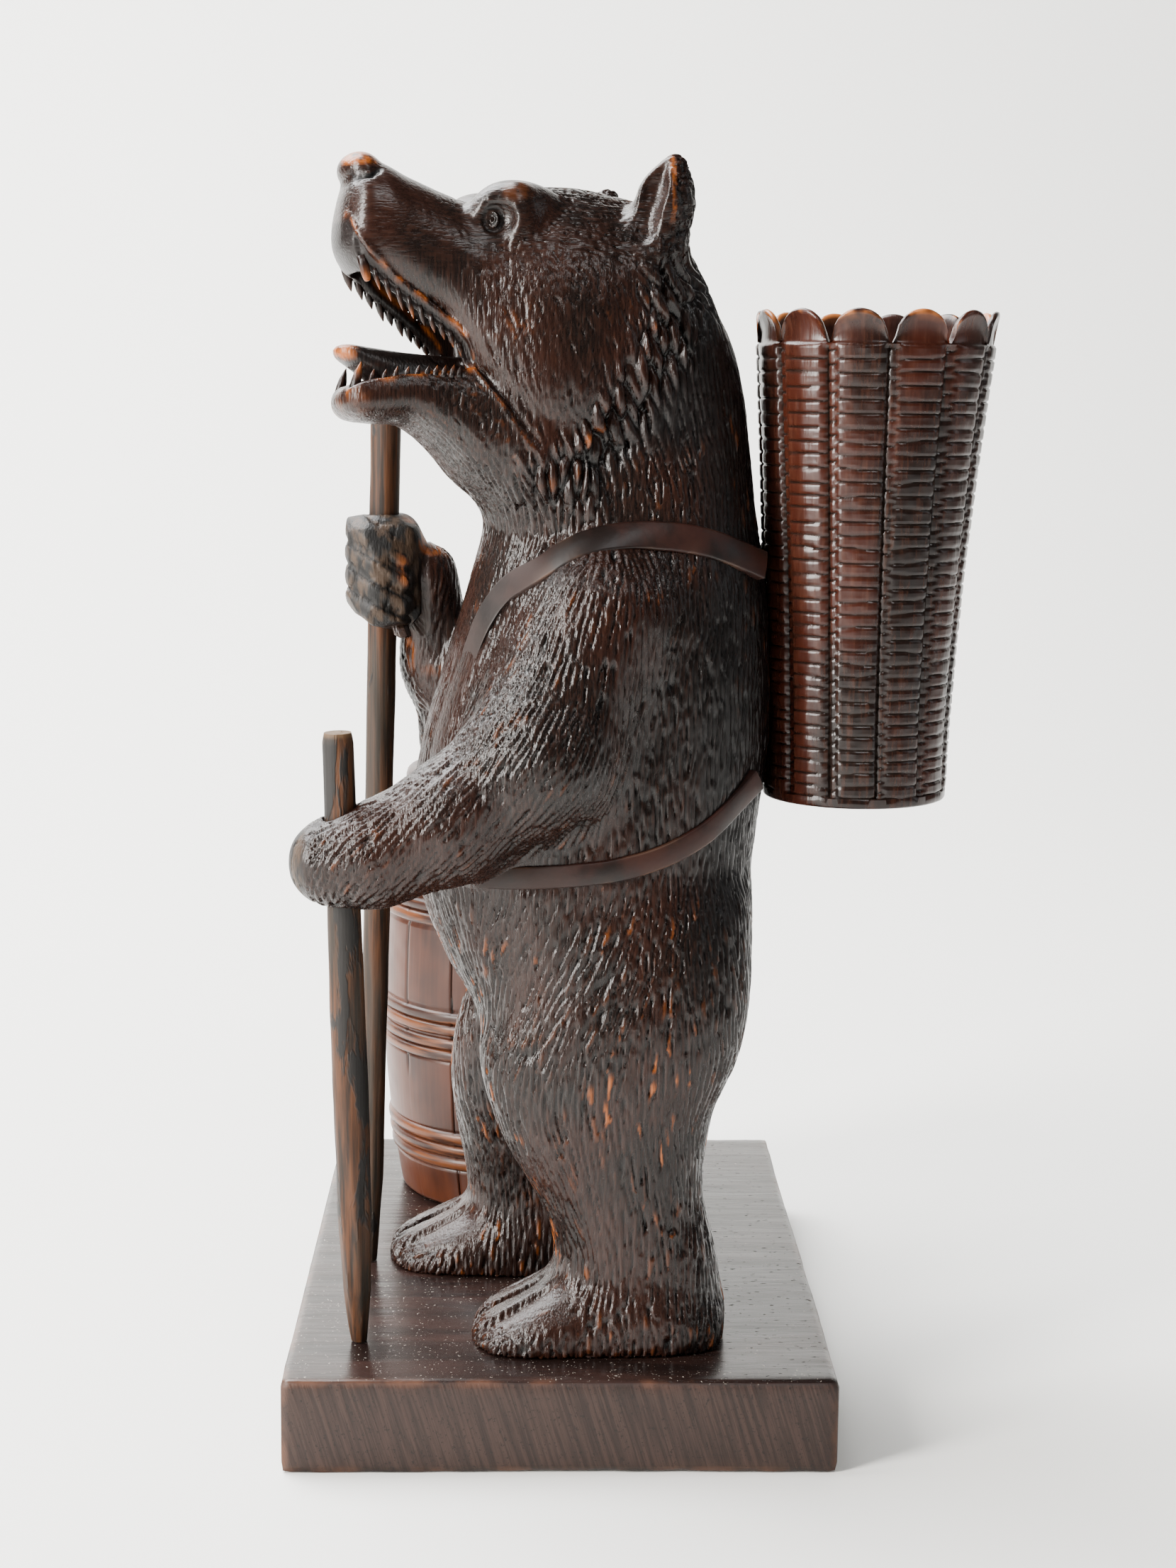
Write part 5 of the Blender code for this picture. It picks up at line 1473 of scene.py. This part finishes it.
class Nodes:
    """Small helpers over one material's node tree. Most return a node's output, to go into the next."""

    def __init__(self, name, roughness):
        self.material = bpy.data.materials.new(name)
        self.material.use_nodes = True
        self.tree = self.material.node_tree
        self.shader = self.tree.nodes["Principled BSDF"]
        self.put(self.shader, {"Roughness": roughness, "Specular IOR Level": SPECULAR})
        self.place = self.add("ShaderNodeTexCoord").outputs["Object"]

    def add(self, kind, sockets=None, **settings):
        node = self.tree.nodes.new(kind)
        for key, value in settings.items():
            setattr(node, key, value)
        self.put(node, sockets or {})
        return node

    def put(self, node, sockets):
        """Gives sockets of a node, by name or number, a value or another node's output."""
        for key, value in sockets.items():
            socket = node.inputs[key]
            if isinstance(value, bpy.types.NodeSocket):
                self.tree.links.new(value, socket)
            else:
                socket.default_value = (*value, 1) if socket.type == "RGBA" else value

    def mark(self, name):
        return self.add("ShaderNodeAttribute", attribute_name=name).outputs["Fac"]

    def part(self, vector, axis):
        return self.add("ShaderNodeSeparateXYZ", {0: vector}).outputs[axis]

    def noise(self, scale, detail=3, roughness=0.55, distortion=0, turn=None):
        """Noise that is stretched by scale, bumps a metre, or turned first and stretched after."""
        sockets = {"Vector": self.place, "Scale": scale}
        if turn:
            sockets = {"Vector": self.place, "Rotation": turn, "Scale": [1 / s for s in scale]}
        place = self.add("ShaderNodeMapping", sockets, vector_type="TEXTURE" if turn else "POINT")
        sockets = {"Vector": place.outputs["Vector"], "Scale": 1, "Detail": detail}
        sockets.update({"Roughness": roughness, "Distortion": distortion})
        return self.add("ShaderNodeTexNoise", sockets).outputs["Fac"]

    def ramp(self, value, low, high):
        sockets = {"Value": value, "From Min": low, "From Max": high}
        return self.add("ShaderNodeMapRange", sockets, interpolation_type="SMOOTHSTEP").outputs["Result"]

    def patches(self, scale, detail, low, high):
        return self.ramp(self.noise(scale, detail), low, high)

    def math(self, operation, a, b=0):
        return self.add("ShaderNodeMath", {0: a, 1: b}, operation=operation).outputs[0]

    def mix(self, share, a, b):
        return self.add("ShaderNodeMix", {"Factor": share, 6: a, 7: b}, data_type="RGBA").outputs[2]

    def finish(self, colour, rough=None, height=None, strength=0, distance=0):
        """Joins what is made to the shader: colour, roughness, and a bump of height."""
        self.put(self.shader, {"Base Color": colour})
        if rough is not None:
            self.put(self.shader, {"Roughness": rough})
        if height is not None:
            sockets = {"Height": height, "Strength": strength, "Distance": distance}
            self.put(self.shader, {"Normal": self.add("ShaderNodeBump", sockets).outputs["Normal"]})
        return self.material


def fur_material():
    n = Nodes("carved_fur_finish", 0.3)
    streaks = n.noise((1150, 1150, 95), 2)
    fine = n.mix(n.mark("crown"), streaks, n.noise((1000, 130, 1000), 2))
    patches = n.patches((26, 26, 16), 3, 0.4, 0.64)
    base = n.mix(patches, (0.0045, 0.0024, 0.0018), (0.0135, 0.0044, 0.0026))
    base = n.mix(n.ramp(fine, 0.4, 0.72), base, n.mix(0.35, base, (0.036, 0.0125, 0.0065)))
    weather = n.noise((190, 190, 90), 4)
    grey = n.mix(n.ramp(weather, 0.44, 0.64), (0.0045, 0.004, 0.0038), (0.044, 0.027, 0.0165))
    base = n.mix(n.mark("aged"), base, grey)
    # Painted shade: the dark mark turns the bear's recesses, back, nape, finger cuts and the eyes' hollows
    # near black. It also darkens the teeth.
    base = n.mix(n.mark("dark"), base, (0.0012, 0.0009, 0.0009))
    # Painted shade: the colour goes to near black where the ridge mark is low, in the grooves between the
    # cut strokes and in the eyes' hollows.
    base = n.mix(n.ramp(n.mark("ridge"), 0, 0.8), (0.0003, 0.0002, 0.0002), base)
    worn = n.math("MULTIPLY", n.mark("worn"), n.ramp(weather, 0.36, 0.54))
    rough = n.math("ADD", n.math("MULTIPLY", n.mark("aged"), 0.26), n.math("MULTIPLY", fine, 0.16))
    rough = n.math("ADD", rough, n.math("MULTIPLY", n.mark("dark"), 0.1))
    return n.finish(n.mix(worn, base, (0.26, 0.068, 0.01)), n.math("ADD", rough, 0.2), fine, 0.45, 0.0006)


def strap_material():
    n = Nodes("strap_finish", 0.34)
    patches = n.patches((45, 45, 45), 4, 0.36, 0.64)
    red = n.mix(patches, (0.0055, 0.0026, 0.002), (0.022, 0.0052, 0.0028))
    grey = n.mix(patches, (0.006, 0.0034, 0.0026), (0.0145, 0.0062, 0.0042))
    # Painted sheen: the grey mark turns the strap greyer on its front and over the chest, standing in for
    # the key lamp's reflection.
    base = n.mix(n.mark("grey"), red, grey)
    colour = n.mix(n.mark("worn"), base, (0.085, 0.042, 0.024))
    rough = n.math("ADD", n.math("MULTIPLY", n.mark("grey"), 0.1), n.math("MULTIPLY", patches, 0.12))
    return n.finish(colour, n.math("ADD", rough, 0.38), n.noise((420, 420, 420), 3), 0.2, 0.0004)


def weave_material():
    n = Nodes("weave_finish", 0.26)
    patches = n.patches((26, 26, 9), 3, 0.38, 0.62)
    base = n.mix(patches, (0.0055, 0.0025, 0.0018), (0.032, 0.0072, 0.0036))
    grain = n.noise((500, 500, 60), 3)
    base = n.mix(n.ramp(grain, 0.42, 0.75), base, n.mix(0.3, base, (0.08, 0.03, 0.017)))
    base = n.mix(n.mark("groove"), base, (0.0095, 0.0058, 0.0042))
    wear = n.math("MULTIPLY", n.mark("tip"), n.patches((55, 55, 55), 3, 0.46, 0.6))
    colour = n.mix(n.math("MAXIMUM", wear, n.mark("chip")), base, (0.4, 0.13, 0.035))
    return n.finish(colour, None, grain, 0.25, 0.0005)


def barrel_material():
    n = Nodes("stave_finish", 0.36)
    grain = n.noise((330, 330, 13), 4)
    patches = n.patches((22, 22, 18), 3, 0.36, 0.66)
    base = n.mix(patches, (0.0145, 0.0042, 0.0024), (0.052, 0.0135, 0.005))
    base = n.mix(n.ramp(grain, 0.35, 0.7), base, n.mix(0.18, base, (0.1, 0.03, 0.011)))
    bands = n.patches((34, 34, 420), 3, 0.44, 0.6)
    hoop = n.mix(bands, (0.018, 0.0056, 0.003), (0.12, 0.036, 0.0095))
    base = n.mix(n.math("MULTIPLY", n.mark("hoop"), 0.75), base, hoop)
    return n.finish(n.mix(n.mark("groove"), base, (0.006, 0.003, 0.002)), None, grain, 0.12, 0.0005)


def bark_material(name, bark):
    """Peeled wood with patches of dark bark left on it: a higher bark leaves fewer."""
    n = Nodes(name, 0.62)
    grain = n.noise((520, 520, 24), 4)
    base = n.mix(n.ramp(grain, 0.34, 0.66), (0.0085, 0.0042, 0.0019), (0.066, 0.0225, 0.0062))
    shade = n.patches((70, 70, 12), 3, 0.4, 0.62)
    base = n.mix(shade, base, n.mix(0.6, base, (0.02, 0.0155, 0.0105)))
    dark = n.ramp(n.noise((90, 90, 22), 4, 0.6, 0.5), bark, bark + 0.06)
    colour = n.mix(dark, base, (0.0075, 0.0062, 0.0055))
    colour = n.mix(n.mark("end"), colour, (0.1, 0.058, 0.028))
    return n.finish(colour, None, n.math("ADD", grain, dark), 0.5, 0.0006)


def plank_material():
    """The plinth: tool marks on its sides, grain, small dents and dust on its top, worn edges."""
    n = Nodes("plank_finish", 0.42)
    rise = n.part(n.add("ShaderNodeNewGeometry").outputs["Normal"], "Z")
    level = n.ramp(n.math("ABSOLUTE", rise), 0.5, 0.8)
    top = n.noise((150, 16, 150), 4)
    tools = n.noise((60, 620, 24), 4, 0.6, 0.15, (math.radians(17), 0, 0))
    face = n.mix(n.ramp(tools, 0.38, 0.64), (0.0165, 0.009, 0.007), (0.034, 0.0185, 0.0142))
    face = n.mix(n.patches((900, 900, 900), 2, 0.42, 0.3), face, (0.011, 0.007, 0.006))
    deck = n.mix(n.ramp(top, 0.35, 0.7), (0.0075, 0.0042, 0.0036), (0.021, 0.0105, 0.0085))
    dents = n.math("MULTIPLY", n.patches((820, 250, 820), 2, 0.665, 0.69), level)
    dents = n.math("MULTIPLY", dents, n.ramp(n.part(n.place, "Y"), 0.02, 0.07))
    base = n.mix(dents, n.mix(level, face, deck), (0.002, 0.0014, 0.0012))
    specks = n.math("MULTIPLY", n.patches((860, 860, 860), 2, 0.68, 0.71), n.ramp(rise, 0.5, 0.9))
    base = n.mix(specks, base, (0.2, 0.18, 0.155))
    wear = n.math("MULTIPLY", n.mark("edge"), n.patches((40, 40, 40), 4, 0.44, 0.62))
    colour = n.mix(n.math("MULTIPLY", wear, 0.75), base, (0.1, 0.042, 0.023))
    rough = n.mix(dents, n.mix(level, (0.55, 0.55, 0.55), (0.27, 0.27, 0.27)), (0.8, 0.8, 0.8))
    height = n.mix(dents, n.mix(level, tools, top), (-0.6, -0.6, -0.6))
    return n.finish(colour, rough, height, 0.35, 0.0008)


# The room: floor, light and camera.


def floor_piece():
    """A pale sheet that runs up behind the object in a wide curve."""
    half, back, bend, height = 3, -1.2, 0.9, 2.6
    profile = [(2.2, 0), (0, 0), (back, 0)]
    profile += [(back - bend * math.sin(a), bend * (1 - math.cos(a))) for a in np.linspace(0.1, 1.5, 12)]
    profile.append((back - bend, height))
    points = [(x, side * half, z) for x, z in profile for side in (-1, 1)]
    faces = [(2 * i, 2 * i + 1, 2 * i + 3, 2 * i + 2) for i in range(len(profile) - 1)]
    mesh = bpy.data.meshes.new("floor")
    mesh.from_pydata(points, [], faces)
    mesh.shade_smooth()
    paint = Nodes("floor_finish", 0.9)
    mesh.materials.append(paint.finish((0.83, 0.825, 0.8)))
    placed("floor", mesh)


def area_light(name, place, target, power, size, colour=(1, 1, 1)):
    light = bpy.data.lights.new(name, "AREA")
    light.energy = power
    light.shape = "RECTANGLE"
    light.size, light.size_y = size
    light.color = colour
    made = placed(name, light)
    made.location = place
    made.rotation_euler = (Vector(target) - Vector(place)).to_track_quat("-Z", "Y").to_euler()


def lighting():
    world = bpy.data.worlds.new("studio")
    world.use_nodes = True
    background = world.node_tree.nodes["Background"]
    background.inputs["Color"].default_value = (1, 0.985, 0.95, 1)
    background.inputs["Strength"].default_value = 0.13
    bpy.context.scene.world = world
    middle = (0, 0, 0.25)
    area_light("key", (1.05, -1.55, 0.95), middle, 130, (0.5, 1.4), (1, 0.968, 0.925))
    area_light("front", (1.35, 0.35, 1.75), middle, 9, (0.45, 0.45))
    area_light("side", (0.35, 1.9, 1), middle, 4, (0.4, 1.3), (0.92, 0.96, 1))
    area_light("above", (-0.8, -1.1, 2.2), (-0.9, 0.3, 0), 275, (1.9, 1.9))


def camera():
    """The photograph's viewpoint, worked out from the plank's corners."""
    pitch, yaw, roll = math.radians(9.36), math.radians(1.36), math.radians(0.607)
    place = (1.03009, -0.01308, 0.40839)
    look = np.array([-math.cos(pitch) * math.cos(yaw), math.cos(pitch) * math.sin(yaw), -math.sin(pitch)])
    level = np.array([math.sin(yaw), math.cos(yaw), 0])
    rise = np.cross(level, look)
    right = math.cos(roll) * level + math.sin(roll) * rise
    up = -math.sin(roll) * level + math.cos(roll) * rise
    lens = bpy.data.cameras.new("camera")
    lens.sensor_width = 36
    lens.sensor_fit = "AUTO"
    lens.lens = 56.96
    made = placed("camera", lens)
    made.matrix_world = Matrix([[right[i], up[i], -look[i], place[i]] for i in range(3)] + [[0, 0, 0, 1]])
    bpy.context.scene.camera = made


fur = fur_material()
straps = [strap_path(side) for side in (1, -1)]
bear_pieces(fur, [path[::4, :3] for path in straps])
teeth_piece(fur)
eye_pieces(fur)
band = strap_material()
strap_piece("strap_left", straps[0], band)
strap_piece("strap_right", straps[1], band)
basket_piece(weave_material())
staves = barrel_material()
barrel_piece(staves)
lid_piece(staves)
short_bark, long_bark = bark_material("short_branch", 0.5), bark_material("long_branch", 0.62)
staff_piece("branch_left", "staff_left", STAFF_LEFT, STAFF_LEFT_RADII, short_bark, 7)
staff_piece("branch_right", "staff_right", STAFF_RIGHT, STAFF_RIGHT_RADII, long_bark, 9)
plinth_piece(plank_material())
floor_piece()
lighting()
camera()
